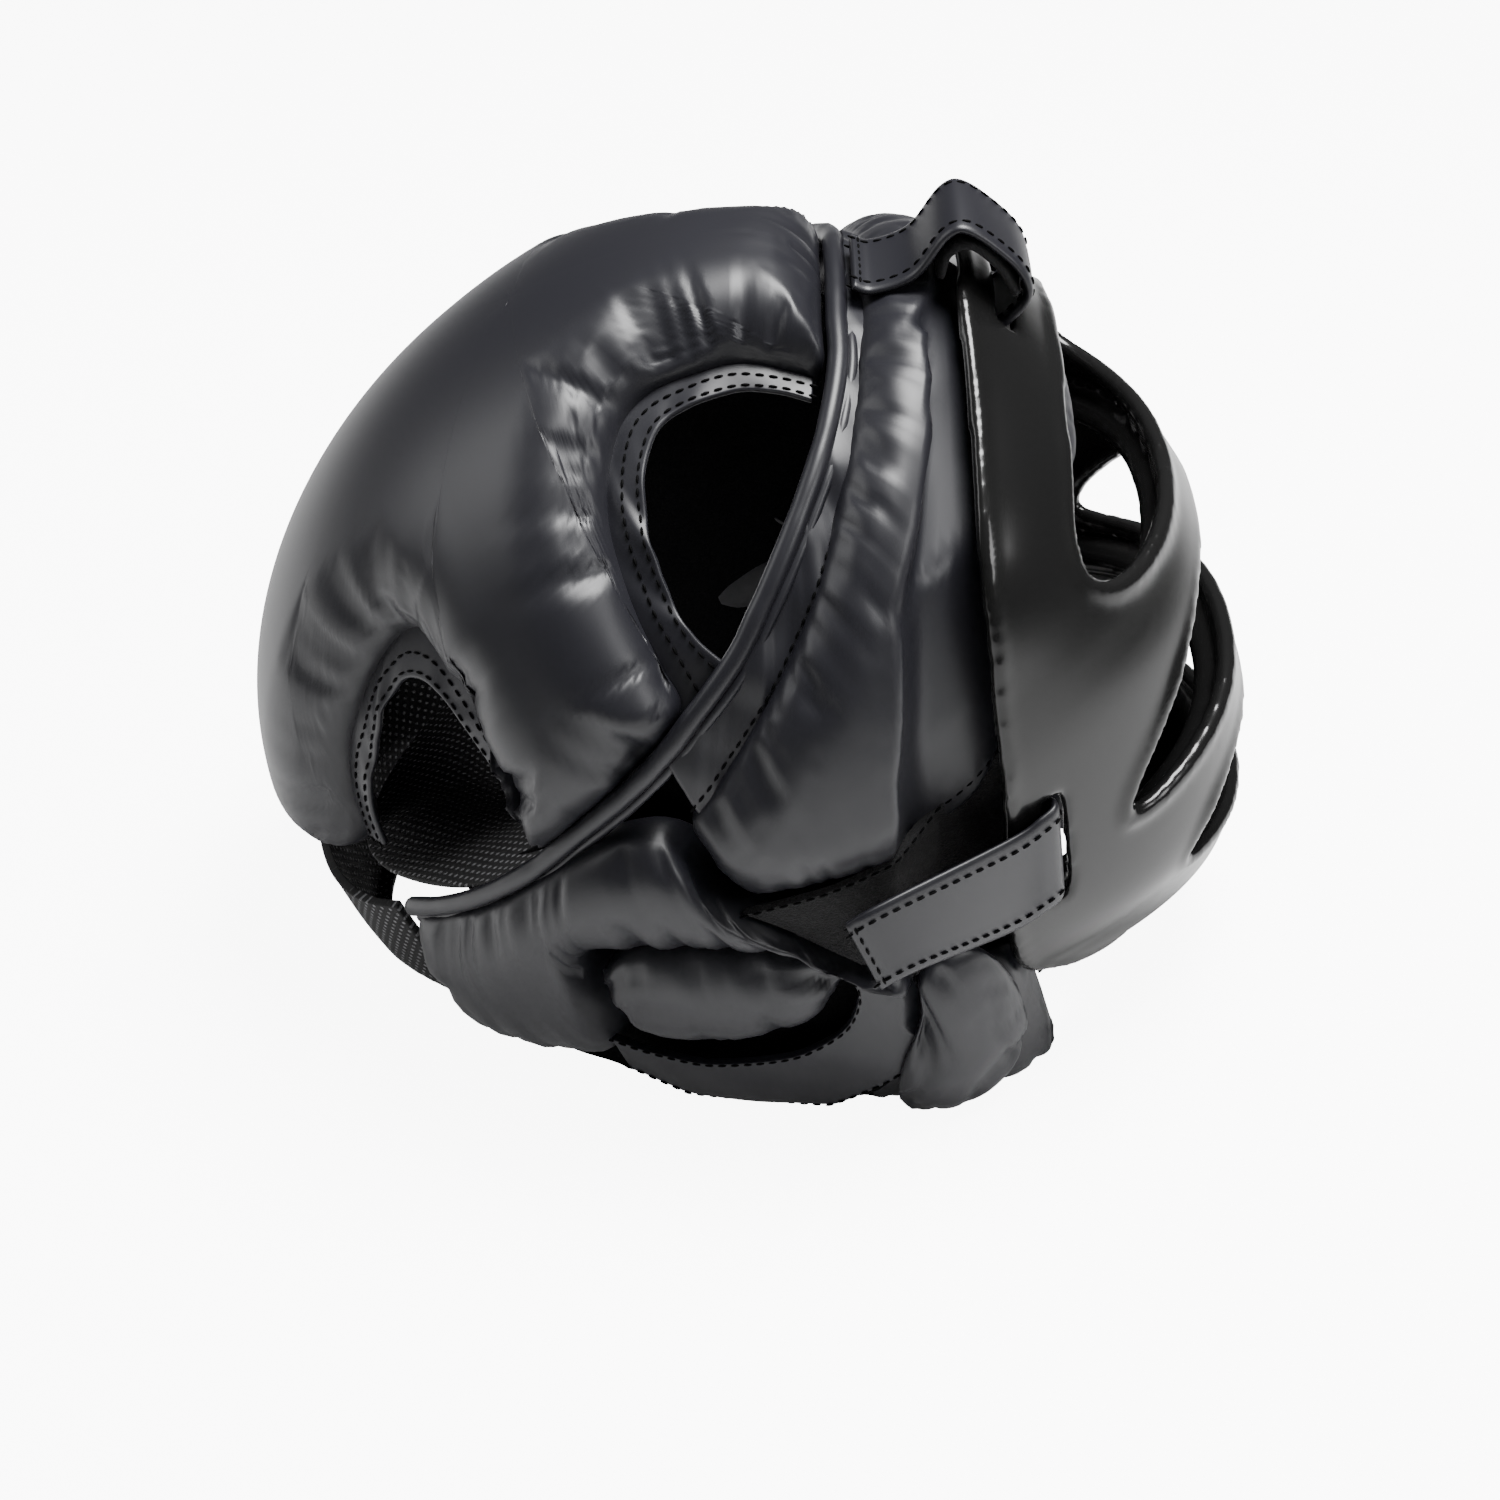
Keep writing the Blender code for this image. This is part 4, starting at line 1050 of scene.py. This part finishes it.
def side_straps():
    """Straps from the temple patches over the shield's edge and in through its slots."""
    over = STRAP_THICK / 2 + STRAP_GAP
    for side, word in SIDES:
        rows = [[on_form(azimuth * side, latitude, over + PATCH_THICK) for latitude in ends]
                for azimuth, *ends in STRAP_ENDS]
        for inset, lift in ((-SLOT_INSET / 3, over + 0.4 * STRAP_THICK), (SLOT_INSET / 2, over),
                            (SLOT_INSET * 0.9, over / 2), (SLOT_INSET, -SHIELD_THICK * 0.6),
                            (SLOT_INSET * 0.7, -SHIELD_THICK - over)):
            rows.append([shield_spot(slot_share(distance), inset, side, lift)
                         for distance in (0.0006, SLOT_LENGTH - 0.0006)])
        face, normal = ribbon("strap_" + word, rows, 61, ("strap_" + word,))
        sew_ribbon(face, normal, (3,))


def top_strap():
    """Loose centre strap from the crown seam over the brow edge and in through its slot."""
    brow = np.array((shield_ring(1.0)[0], 0, SHIELD_UP))

    def looped(route):
        return [place_shield(brow + np.array((ahead, 0, rise)) * STRAP_LOOP_RISE)
                for ahead, rise in route]

    def edges(centres):
        return [(centre - (0, STRAP_WIDTH / 2, 0), centre + (0, STRAP_WIDTH / 2, 0))
                for centre in centres]

    start = [on_form(0, latitude, -SEAM_DEPTH * 0.45) for latitude in TOP_STRAP_START]
    finish = [place_shield(brow_slot() + np.array((1, 0, BROW_SLOT_RISE)) * SHIELD_THICK * ahead)
              for ahead in (1, -1.5)]
    face, normal = ribbon("strap_top", edges(start + looped(TOP_STRAP_ROUTE) + finish), 81,
                          ("strap_top",))
    sew_ribbon(face, normal, (3,))
    ribbon("strap_top_hook", edges(looped(HOOK_ROUTE)), 41, finish=pile())


def chin_strap():
    """Strap round the chin that shows under the shield's lower edge."""
    rows = []
    for azimuth in np.linspace(CHIN_STRAP_SPREAD, -CHIN_STRAP_SPREAD, 9):
        edges = on_form(azimuth, CHIN_STRAP_EDGES, -CHIN_STRAP_DEPTH)
        rows.append(rest(press(edges, CHIN_STRAP_DEPTH), STRAP_THICK))
    face, normal = ribbon("strap_chin", rows, 71, ("strap_chin",))
    sew_ribbon(face, normal, ())


# Materials

def feed(tree, slot, value):
    """Links a socket to an input, or sets the input to a plain value."""
    if isinstance(value, Maths):
        tree.links.new(value.socket, slot)
    else:
        slot.default_value = value


class Maths:
    """A shader socket that Python's operators can work with."""

    def __init__(self, tree, socket):
        self.tree, self.socket = tree, socket

    def combine(self, operation, *values):
        node = self.tree.nodes.new("ShaderNodeMath")
        node.operation = operation
        for slot, value in zip(node.inputs, values):
            feed(self.tree, slot, value)
        return Maths(self.tree, node.outputs[0])

    def math(self, operation, *others):
        return self.combine(operation, self, *others)

    def __add__(self, other):
        return self.math("ADD", other)

    def __sub__(self, other):
        return self.math("SUBTRACT", other)

    def __rsub__(self, other):
        return self.combine("SUBTRACT", other, self)

    def __mul__(self, other):
        return self.math("MULTIPLY", other)

    def __truediv__(self, other):
        return self.math("DIVIDE", other)

    def band(self, low, high):
        """0 below low, 1 above high, smooth between them."""
        node = self.tree.nodes.new("ShaderNodeMapRange")
        node.interpolation_type = "SMOOTHSTEP"
        self.tree.links.new(self.socket, node.inputs["Value"])
        node.inputs["From Min"].default_value = low
        node.inputs["From Max"].default_value = high
        return Maths(self.tree, node.outputs["Result"])


class Material:
    """A Principled material and the nodes that vary it."""

    def __init__(self, name):
        self.made = bpy.data.materials.new(name)
        self.made.use_nodes = True
        self.tree = self.made.node_tree
        self.shader = self.tree.nodes["Principled BSDF"]

    def node(self, kind, settings=(), **sockets):
        """A node of a type, its settings set first, then its sockets by name."""
        node = self.tree.nodes.new(kind)
        for key, value in dict(settings).items():
            setattr(node, key, value)
        for key, value in sockets.items():
            feed(self.tree, node.inputs[key.replace("_", " ")], value)
        return node

    def out(self, node, name):
        return Maths(self.tree, node.outputs[name])

    def coordinates(self, kind="Object"):
        return self.out(self.node("ShaderNodeTexCoord"), kind)

    def noise(self, scale, detail=2.0, roughness=0.5):
        node = self.node("ShaderNodeTexNoise", Vector=self.coordinates(), Scale=scale,
                         Detail=detail, Roughness=roughness)
        return self.out(node, "Fac")

    def cells(self, scale, feature="F1", **more):
        node = self.node("ShaderNodeTexVoronoi", {"feature": feature}, Vector=self.coordinates(),
                         Scale=scale, **more)
        return self.out(node, "Distance")

    def mix(self, factor, first, second):
        node = self.node("ShaderNodeMix", {"data_type": "RGBA"})
        self.tree.links.new(factor.socket, node.inputs[0])
        node.inputs[6].default_value = (*first, 1.0)
        node.inputs[7].default_value = (*second, 1.0)
        return Maths(self.tree, node.outputs[2])

    def set(self, **sockets):
        for key, value in sockets.items():
            feed(self.tree, self.shader.inputs[key.replace("_", " ")], value)

    def bump(self, height, distance, strength=1.0, under=None):
        node = self.node("ShaderNodeBump", Height=height, Distance=distance, Strength=strength)
        if under is not None:
            self.tree.links.new(under.socket, node.inputs["Normal"])
        return self.out(node, "Normal")


def once(make):
    """Makes a material the first time and finds it afterwards."""
    def found():
        name = make.__name__
        return bpy.data.materials.get(name) or make(name)
    return found


@once
def leather(name):
    """Fine-grained synthetic leather with a satin face."""
    f, s = finishes(), sizes()
    m = Material(name)
    pebble = m.cells(1 / s.grain_pitch, "SMOOTH_F1", Smoothness=0.35)
    fine = m.noise(2600)
    soft = m.noise(38, 3.0)
    broad = m.noise(9)
    grain = pebble * 0.75 + fine * 0.25
    dust = (1 - m.cells(130).band(0.018, 0.04)) * m.noise(25).band(0.45, 0.6)
    colour = m.mix(dust, f.leather_colour, [0.12] * 3)
    normal = m.bump(soft, 0.0006, 0.5)
    normal = m.bump(grain, f.grain_depth, 1.0, normal)
    m.set(Base_Color=colour, Roughness=broad * 0.10 + fine * 0.08 + (f.leather_gloss - 0.09),
          Normal=normal, Specular_IOR_Level=0.30)
    return m.made


@once
def plastic(name):
    """Glossy moulded plastic with a faint flow in its surface."""
    f = finishes()
    m = Material(name)
    flow = m.noise(14)
    haze = m.noise(70, 3.0)
    m.set(Base_Color=m.mix(haze.band(0.3, 0.8), f.plastic_colour,
                           [c * 1.6 for c in f.plastic_colour]),
          Roughness=haze * 0.08 + (f.plastic_gloss - 0.03), Normal=m.bump(flow, 0.0012, 0.35),
          Specular_IOR_Level=0.85)
    return m.made


@once
def thread(name):
    """Black sewing thread."""
    m = Material(name)
    m.set(Base_Color=(*finishes().thread_colour, 1.0), Roughness=m.noise(3000) * 0.2 + 0.6,
          Specular_IOR_Level=0.08)
    return m.made


@once
def lining(name):
    """Black spacer mesh whose face carries rows of light dots."""
    f, s = finishes(), sizes()
    m = Material(name)
    uv = m.coordinates("UV")
    apart = m.node("ShaderNodeSeparateXYZ", Vector=uv)
    u, v = m.out(apart, "X") / s.mesh_pitch, m.out(apart, "Y") / (s.mesh_pitch * 0.55)
    row = v.math("FLOOR")
    shift = row.math("MODULO", 2.0) * 0.5
    du = (u + shift).math("FRACT") - 0.5
    dv = v.math("FRACT") - 0.5
    away = (du * du + dv * dv * 0.35).math("SQRT")
    dot = 1 - away.band(0.10, 0.24)
    weave = m.noise(1800)
    m.set(Base_Color=m.mix(dot * weave.band(0.25, 0.5), f.lining_colour, f.dot_colour),
          Roughness=0.75, Normal=m.bump(dot * -1.0 + weave * 0.4, 0.0004, 0.8),
          Sheen_Weight=0.03)
    return m.made


@once
def backing(name):
    """Plain dark knit on the inside of the ring, partly a real lining and partly painted shade
    for the gaps and the ear holes.
    """
    m = Material(name)
    knit = m.noise(1400, 3.0)
    colour = finishes().lining_colour
    # Painted shade: the near-black knit stands for the shadow inside the ring.
    m.set(Base_Color=m.mix(knit.band(0.3, 0.7), [c * 0.4 for c in colour], colour),
          Roughness=0.9, Normal=m.bump(knit, 0.0003, 0.8), Specular_IOR_Level=0.1)
    return m.made


@once
def pile(name):
    """Brushed loop pile of the fastening patches."""
    m = Material(name)
    fuzz = m.noise(1500, 4.0, roughness=0.7)
    colour = finishes().pile_colour
    m.set(Base_Color=m.mix(fuzz.band(0.3, 0.8), colour, [c * 3 for c in colour]),
          Roughness=0.95, Normal=m.bump(fuzz, 0.0012, 1.0), Sheen_Weight=0.06)
    return m.made


@once
def floor_paint(name):
    """White table top."""
    m, st = Material(name), bpy.context.scene.headgear_stage
    colour = st.floor_colour
    seen = m.out(m.node("ShaderNodeLightPath"), "Is Camera Ray")
    m.set(Base_Color=m.mix(m.noise(3.0), colour, [min(c * 1.02, 1) for c in colour]),
          Roughness=0.6, Emission_Color=(*colour, 1.0),
          Emission_Strength=seen * st.floor_glow + 0.2)
    return m.made


# Pads, panels and sewing

def forehead_pad():
    """Bulging pad round the brow and both temples."""
    ruled_pad("forehead_pad", FOREHEAD_ROWS, PAD_THICK, SEAM_DEPTH, mirrored_end=True, seed=41,
              blunt=(0.006, 0.006), gather=0.4, reach=0.020)


def chin_pad():
    """Pad inside the chin strap."""
    ruled_pad("chin_pad", CHIN_ROWS, PAD_THICK * 0.6, SEAM_DEPTH * 0.5, lift=-CHIN_STRAP_ROOM,
              mirrored_end=True, seed=61, blunt=(0.008, 0.008), gather=0.5)


def seam_strip():
    """Crumpled unpadded leather strip between the piping and the brow pad."""
    azimuth = np.linspace(-1, 1, 361)[:, None] * FOREHEAD_ROWS[-1][0] * 0.97 + np.zeros((1, 19))
    upper = latitude_on(PIPING_LINE, azimuth) - PIPING_RADIUS / DEGREE
    lower = latitude_on(FOREHEAD_ROWS, azimuth) - 0.0025 / DEGREE
    share = np.linspace(0, 1, 19)[None, :]
    latitude = upper * (1 - share) + lower * share
    face = leather_sheet("seam_strip_leather", azimuth, latitude, LEATHER - SEAM_DEPTH,
                         LEATHER * 0.8, leather(), "leather", ("seam_strip",), wave=0.0028,
                         wave_pitch=0.011, seed=51)[1]
    sew(sewn(face, 13))


def piping():
    """Rolled leather cord with a bound edge beside it along the crown's lower seam."""
    line = smooth_rows(closed_half(PIPING_LINE), 420)
    cord = on_form(line[:, 0], line[:, 1], LEATHER / 2 - SEAM_DEPTH + 0.0005)
    along = run_along(cord)
    parts = [tube(cord, PIPING_RADIUS * (1.12 + 0.05 * ripple(along, 0.006, 71)), 12)]
    drop = (PIPING_RADIUS * 1.75) / DEGREE
    edge = on_form(line[:, 0], line[:, 1] - drop,
                   LEATHER / 2 - SEAM_DEPTH - 0.0002 + 0.0005 * ripple(along, 0.012, 72))
    parts.append(tube(edge, PIPING_RADIUS * 0.62 * (1 + 0.1 * ripple(along, 0.005, 73)), 10))
    points, faces = joined(parts)
    piece = add_piece("piping_cord", points, faces, leather(), "leather")
    outward(piece.data)
    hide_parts("piping")


def side_pads():
    """The pads of both sides, the left ones mirrored."""
    plans = (
        ("side_pad_right", SIDE_ROWS, PAD_THICK, SEAM_DEPTH, dict(seed=11, gather=1.0)),
        ("ear_pad_right", EAR_ROWS, PAD_THICK * 0.9, PAD_THICK * 0.4,
         dict(seed=12, blunt=(0.016, 0.016), gather=0.6)),
        ("cheek_pad_right", CHEEK_ROWS, CHEEK_THICK, CHEEK_THICK * 0.6,
         dict(seed=13, pressed=False, gather=1.1, blunt=(0.005, 0.005), overlap=0.002)),
        ("jaw_pad_right", JAW_ROWS, PAD_THICK - CHEEK_THICK, SEAM_DEPTH * 0.6,
         dict(seed=14, pressed=False, lift=-CHEEK_THICK - LAYER_GAP, gather=0.9)),
    )
    for name, rows, thick, edge, options in plans:
        piece = ruled_pad(name, rows, thick, edge, **options)
        mirrored(piece, name.replace("right", "left"))


def ear_bands():
    """Flat stitched bands round the front and the bottom of the ear holes."""
    azimuth, latitude = ruled(EAR_BAND_ROWS, 130, 23, 0.001)
    piece, face = leather_sheet("ear_band_right", azimuth, latitude, -CHEEK_THICK + LEATHER,
                                LEATHER, leather(), "leather", ("ear_band_right",),
                                wave=0.0016, wave_pitch=0.017, seed=81, pressed=-0.006)
    copy_sheet(piece, "ear_band_left")
    sew_both_sides(face, (2, 20))


def patches():
    """Fuzzy fastening patches on the temples."""
    azimuth, latitude = ruled(PATCH_ROWS, 80, 41, 0.001)
    piece, face = leather_sheet("loop_patch_right", azimuth, latitude, -SEAM_DEPTH * 0.4,
                                PATCH_THICK * 1.5, pile(), "loop_pile", ("loop_patch_right",),
                                wave=0.0008, wave_pitch=0.02, seed=91, pressed=0.0)
    copy_sheet(piece, "loop_patch_left")
    sew_both_sides(face, (3,))


def rear_flap():
    """Flap with a mesh lining, from the left ring's end round the nape."""
    azimuth, latitude = ruled(FLAP_ROWS, 141, 31, 0.0)
    lift = -PAD_THICK * 0.8 + 0.017 * np.sin(np.linspace(0, 2.5, 141))[:, None]
    leather_sheet("rear_flap_mesh", azimuth, latitude, lift, FLAP_THICK, lining(),
                  "mesh_lining", ("rear_flap",), wave=0.0016, wave_pitch=0.03, seed=95)


def ring_lining_painted_shade():
    """Mesh lining behind the whole ring of pads, partly real and partly painted shade: its dark
    sheet fills every gap between the pads and the ear holes, where the inside would be in shadow.
    """
    azimuth = np.linspace(-143, 143, 241)[:, None] + np.zeros((1, 25))
    upper, lower = latitude_on(PIPING_LINE, azimuth) - 0.5, latitude_on(SHADE_LINING_EDGE, azimuth)
    share = np.linspace(0, 1, 25)[None, :]
    foot = np.clip((abs(azimuth) - 48) / 14, 0, 1) * np.clip(share * 1.5 - 0.5, 0, 1)
    # Painted shade: this dark sheet stands for the shadow inside the headgear, seen through the
    # gaps and the ear holes.
    leather_sheet("ring_lining_painted_shade", azimuth, upper * (1 - share) + lower * share,
                  SHADE_LINING_LIFT + 0.0155 * foot, 0.0012, backing(), "mesh_lining", wave=0.002,
                  wave_pitch=0.03, seed=97, pressed=-SHADE_LINING_LIFT)


def flap_fold():
    """The loose end of the rear flap, folded in under the rear hole with its mesh upward."""
    azimuth = np.linspace(-150, -250, 81)
    edge = on_form(azimuth, latitude_on(FOLD_EDGE, azimuth), -0.0150)[:, None, :]
    target = CENTRE + np.array((-0.050, -0.004, -0.062))
    reach = 0.86
    share = np.linspace(0, reach, 41)[None, :, None]
    face = edge * (1 - share) + target * share
    lengths = lengths_on(face)
    face[..., 2] += 0.006 * np.sin(share[..., 0] / reach * math.pi)
    face[..., 2] += 0.0022 * crumple(lengths[..., 0], lengths[..., 1], 0.03, 99)
    flat_piece("flap_fold", rest(face, FLAP_THICK), FLAP_THICK / 2, lining(), "mesh_lining", (),
               planar=True)


STITCH_NODES = {
    "chain": "GeometryNodeMeshToCurve", "spaced": "GeometryNodeResampleCurve",
    "bead": "GeometryNodeMeshUVSphere", "smooth": "GeometryNodeSetShadeSmooth",
    "size": "ShaderNodeCombineXYZ", "half": "ShaderNodeMath",
    "aim": "FunctionNodeAlignRotationToVector", "tangent": "GeometryNodeInputTangent",
    "place": "GeometryNodeInstanceOnPoints", "real": "GeometryNodeRealizeInstances",
    "paint": "GeometryNodeSetMaterial", "source": "NodeGroupInput", "target": "NodeGroupOutput",
}

# Links of the stitches' nodes: node and output, then node and input.
STITCH_LINKS = (
    ("source", "Lines", "chain", "Mesh"), ("chain", "Curve", "spaced", "Curve"),
    ("source", "Pitch", "spaced", "Length"), ("spaced", "Curve", "place", "Points"),
    ("bead", "Mesh", "smooth", "Geometry"), ("smooth", "Geometry", "place", "Instance"),
    ("tangent", "Tangent", "aim", "Vector"), ("aim", "Rotation", "place", "Rotation"),
    ("source", "Length", "half", 0), ("source", "Radius", "size", "X"),
    ("source", "Radius", "size", "Y"), ("half", "Value", "size", "Z"),
    ("size", "Vector", "place", "Scale"), ("place", "Instances", "real", "Geometry"),
    ("real", "Geometry", "paint", "Geometry"), ("source", "Thread", "paint", "Material"),
    ("paint", "Geometry", "target", "Stitches"),
)


def stitch_tree():
    """Geometry nodes that lay stitches along every edge chain of a mesh."""
    tree = bpy.data.node_groups.new("stitches", "GeometryNodeTree")
    for name, way, kind in (("Lines", "INPUT", "Geometry"), ("Pitch", "INPUT", "Float"),
                            ("Length", "INPUT", "Float"), ("Radius", "INPUT", "Float"),
                            ("Thread", "INPUT", "Material"), ("Stitches", "OUTPUT", "Geometry")):
        tree.interface.new_socket(name, in_out=way, socket_type="NodeSocket" + kind)
    made = {name: tree.nodes.new(kind) for name, kind in STITCH_NODES.items()}
    made["spaced"].mode = "LENGTH"
    for name, value in (("Segments", 6), ("Rings", 4), ("Radius", 1.0)):
        made["bead"].inputs[name].default_value = value
    made["half"].operation = "MULTIPLY"
    made["half"].inputs[1].default_value = 0.5
    made["aim"].axis = "Z"
    for start, output, end, entry in STITCH_LINKS:
        tree.links.new(made[start].outputs[output], made[end].inputs[entry])
    return tree


def sewing():
    """All stitches as one piece, laid by geometry nodes and made a plain mesh."""
    points, edges, count = [], [], 0
    for line in STITCHES:
        points += line.tolist()
        edges += [(count + i, count + i + 1) for i in range(len(line) - 1)]
        count += len(line)
    seams = linked("seams", mesh_of("seams", points, [], edges))
    tree = stitch_tree()
    work = seams.modifiers.new("stitches", "NODES")
    work.node_group = tree
    s = sizes()
    values = {"Pitch": s.stitch_pitch, "Length": s.stitch_length, "Radius": s.thread_radius,
              "Thread": thread()}
    for item in tree.interface.items_tree:
        if item.in_out == "INPUT" and item.name in values:
            work[item.identifier] = values[item.name]
    stitched = plain_mesh(seams)
    bpy.data.objects.remove(seams, do_unlink=True)
    piece = linked("stitching", stitched)
    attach(piece, "root")
    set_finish(piece, "leather")


def stood(name, data, place, target):
    """A lamp or camera at a place, facing a target."""
    made = linked(name, data)
    made.location = place
    made.rotation_euler = (target - made.location).to_track_quat("-Z", "Y").to_euler()
    return made


def soft_light(name, place, target, size, power):
    """A square softbox that faces a target."""
    light = bpy.data.lights.new(name, "AREA")
    light.shape, light.size, light.energy = "SQUARE", size, power
    stood(name, light, place, target)


def stage():
    """White floor, white surround, three softboxes and the camera."""
    st = bpy.context.scene.headgear_stage
    corners = [(x * FLOOR_HALF, y * FLOOR_HALF, 0)
               for x, y in ((-1, -1), (1, -1), (1, 1), (-1, 1))]
    mesh = mesh_of("floor", corners, [(0, 1, 2, 3)])
    mesh.materials.append(floor_paint())
    linked("floor", mesh)
    world = bpy.context.scene.world = bpy.data.worlds.new("surround")
    world.use_nodes = True
    tree = world.node_tree
    seen = Maths(tree, tree.nodes.new("ShaderNodeLightPath").outputs["Is Camera Ray"])
    background = tree.nodes["Background"].inputs
    feed(tree, background["Color"], (1, 1, 1, 1))
    feed(tree, background["Strength"], seen * st.floor_glow + st.world_light)
    target = Vector((CENTRE[0] + st.aim_ahead, 0, CENTRE[2] - st.aim_drop))
    soft_light("overhead", (0.25, 0.15, 1.15), target, 0.5, st.key_power)
    soft_light("side", (-0.9, 0.1, 0.7), target, 0.6, st.side_power)
    soft_light("front", (0.85, -0.45, 0.75), target, 0.4, st.front_power)
    data = bpy.data.cameras.new("camera")
    data.angle = st.view_angle
    away = Vector((0, -math.cos(st.elevation), math.sin(st.elevation))) * st.distance
    bpy.context.scene.camera = stood("camera", data, target + away, target)


# Operators

class Piece(bpy.types.Operator):
    """Base of the operators that make pieces"""
    bl_options = {"INTERNAL"}

    def execute(self, context):
        for make in self.makers:
            make()
        return {"FINISHED"}


class HEADGEAR_OT_crown(Piece):
    """Makes the cross-shaped crown pad"""
    bl_idname = "headgear.crown"
    bl_label = "Crown Pad"
    makers = (crown_pad,)


class HEADGEAR_OT_hole_bands(Piece):
    """Makes the stitched borders of the crown holes"""
    bl_idname = "headgear.hole_bands"
    bl_label = "Hole Bands"
    makers = (hole_bands,)


class HEADGEAR_OT_brow(Piece):
    """Makes the brow pad, its seam strip and the piping"""
    bl_idname = "headgear.brow"
    bl_label = "Brow Pad and Piping"
    makers = (forehead_pad, seam_strip, piping)


class HEADGEAR_OT_side_pads(Piece):
    """Makes the side, ear, cheek and jaw pads"""
    bl_idname = "headgear.side_pads"
    bl_label = "Side Pads"
    makers = (side_pads,)


class HEADGEAR_OT_chin(Piece):
    """Makes the chin pad and its strap"""
    bl_idname = "headgear.chin"
    bl_label = "Chin Pad and Strap"
    makers = (chin_pad, chin_strap)


class HEADGEAR_OT_panels(Piece):
    """Makes the ear bands, the fastening patches and the rear flap"""
    bl_idname = "headgear.panels"
    bl_label = "Flat Panels"
    makers = (ear_bands, patches, rear_flap, ring_lining_painted_shade, flap_fold)


class HEADGEAR_OT_shield(Piece):
    """Makes the moulded face shield"""
    bl_idname = "headgear.shield"
    bl_label = "Face Shield"
    makers = (face_cage,)


class HEADGEAR_OT_straps(Piece):
    """Makes the straps that hold the shield"""
    bl_idname = "headgear.straps"
    bl_label = "Shield Straps"
    makers = (side_straps, top_strap)


class HEADGEAR_OT_sewing(Piece):
    """Sews every kept line with stitches"""
    bl_idname = "headgear.sewing"
    bl_label = "Sewing"
    makers = (sewing,)


class HEADGEAR_OT_stage(Piece):
    """Makes the floor, the lights and the camera"""
    bl_idname = "headgear.stage"
    bl_label = "Stage"
    makers = (stage,)


OPERATORS = (HEADGEAR_OT_stage, HEADGEAR_OT_crown, HEADGEAR_OT_hole_bands, HEADGEAR_OT_brow,
             HEADGEAR_OT_side_pads, HEADGEAR_OT_chin, HEADGEAR_OT_panels, HEADGEAR_OT_shield,
             HEADGEAR_OT_straps, HEADGEAR_OT_sewing)
GROUPS = ((HeadgearSizes, "headgear_sizes"), (HeadgearFinish, "headgear_finish"),
          (HeadgearStage, "headgear_stage"))


class HEADGEAR_PT_panel(bpy.types.Panel):
    """Lists the sizes, the finishes and the pieces"""
    bl_label = "Sparring Headgear"
    bl_space_type = "VIEW_3D"
    bl_region_type = "UI"
    bl_category = "Headgear"

    def draw(self, context):
        for group, name in GROUPS:
            box = self.layout.box()
            values = getattr(context.scene, name)
            for key in group.__annotations__:
                box.prop(values, key)
        for operator in OPERATORS:
            self.layout.operator(operator.bl_idname)


def register():
    for group, name in GROUPS:
        bpy.utils.register_class(group)
        setattr(bpy.types.Scene, name, PointerProperty(type=group))
    for item in (*OPERATORS, HEADGEAR_PT_panel):
        bpy.utils.register_class(item)


def unregister():
    for item in (HEADGEAR_PT_panel, *reversed(OPERATORS)):
        bpy.utils.unregister_class(item)
    for group, name in GROUPS:
        delattr(bpy.types.Scene, name)
        bpy.utils.unregister_class(group)


def main():
    register()
    for operator in OPERATORS:
        group, name = operator.bl_idname.split(".")
        getattr(getattr(bpy.ops, group), name)()


if __name__ == "__main__":
    main()
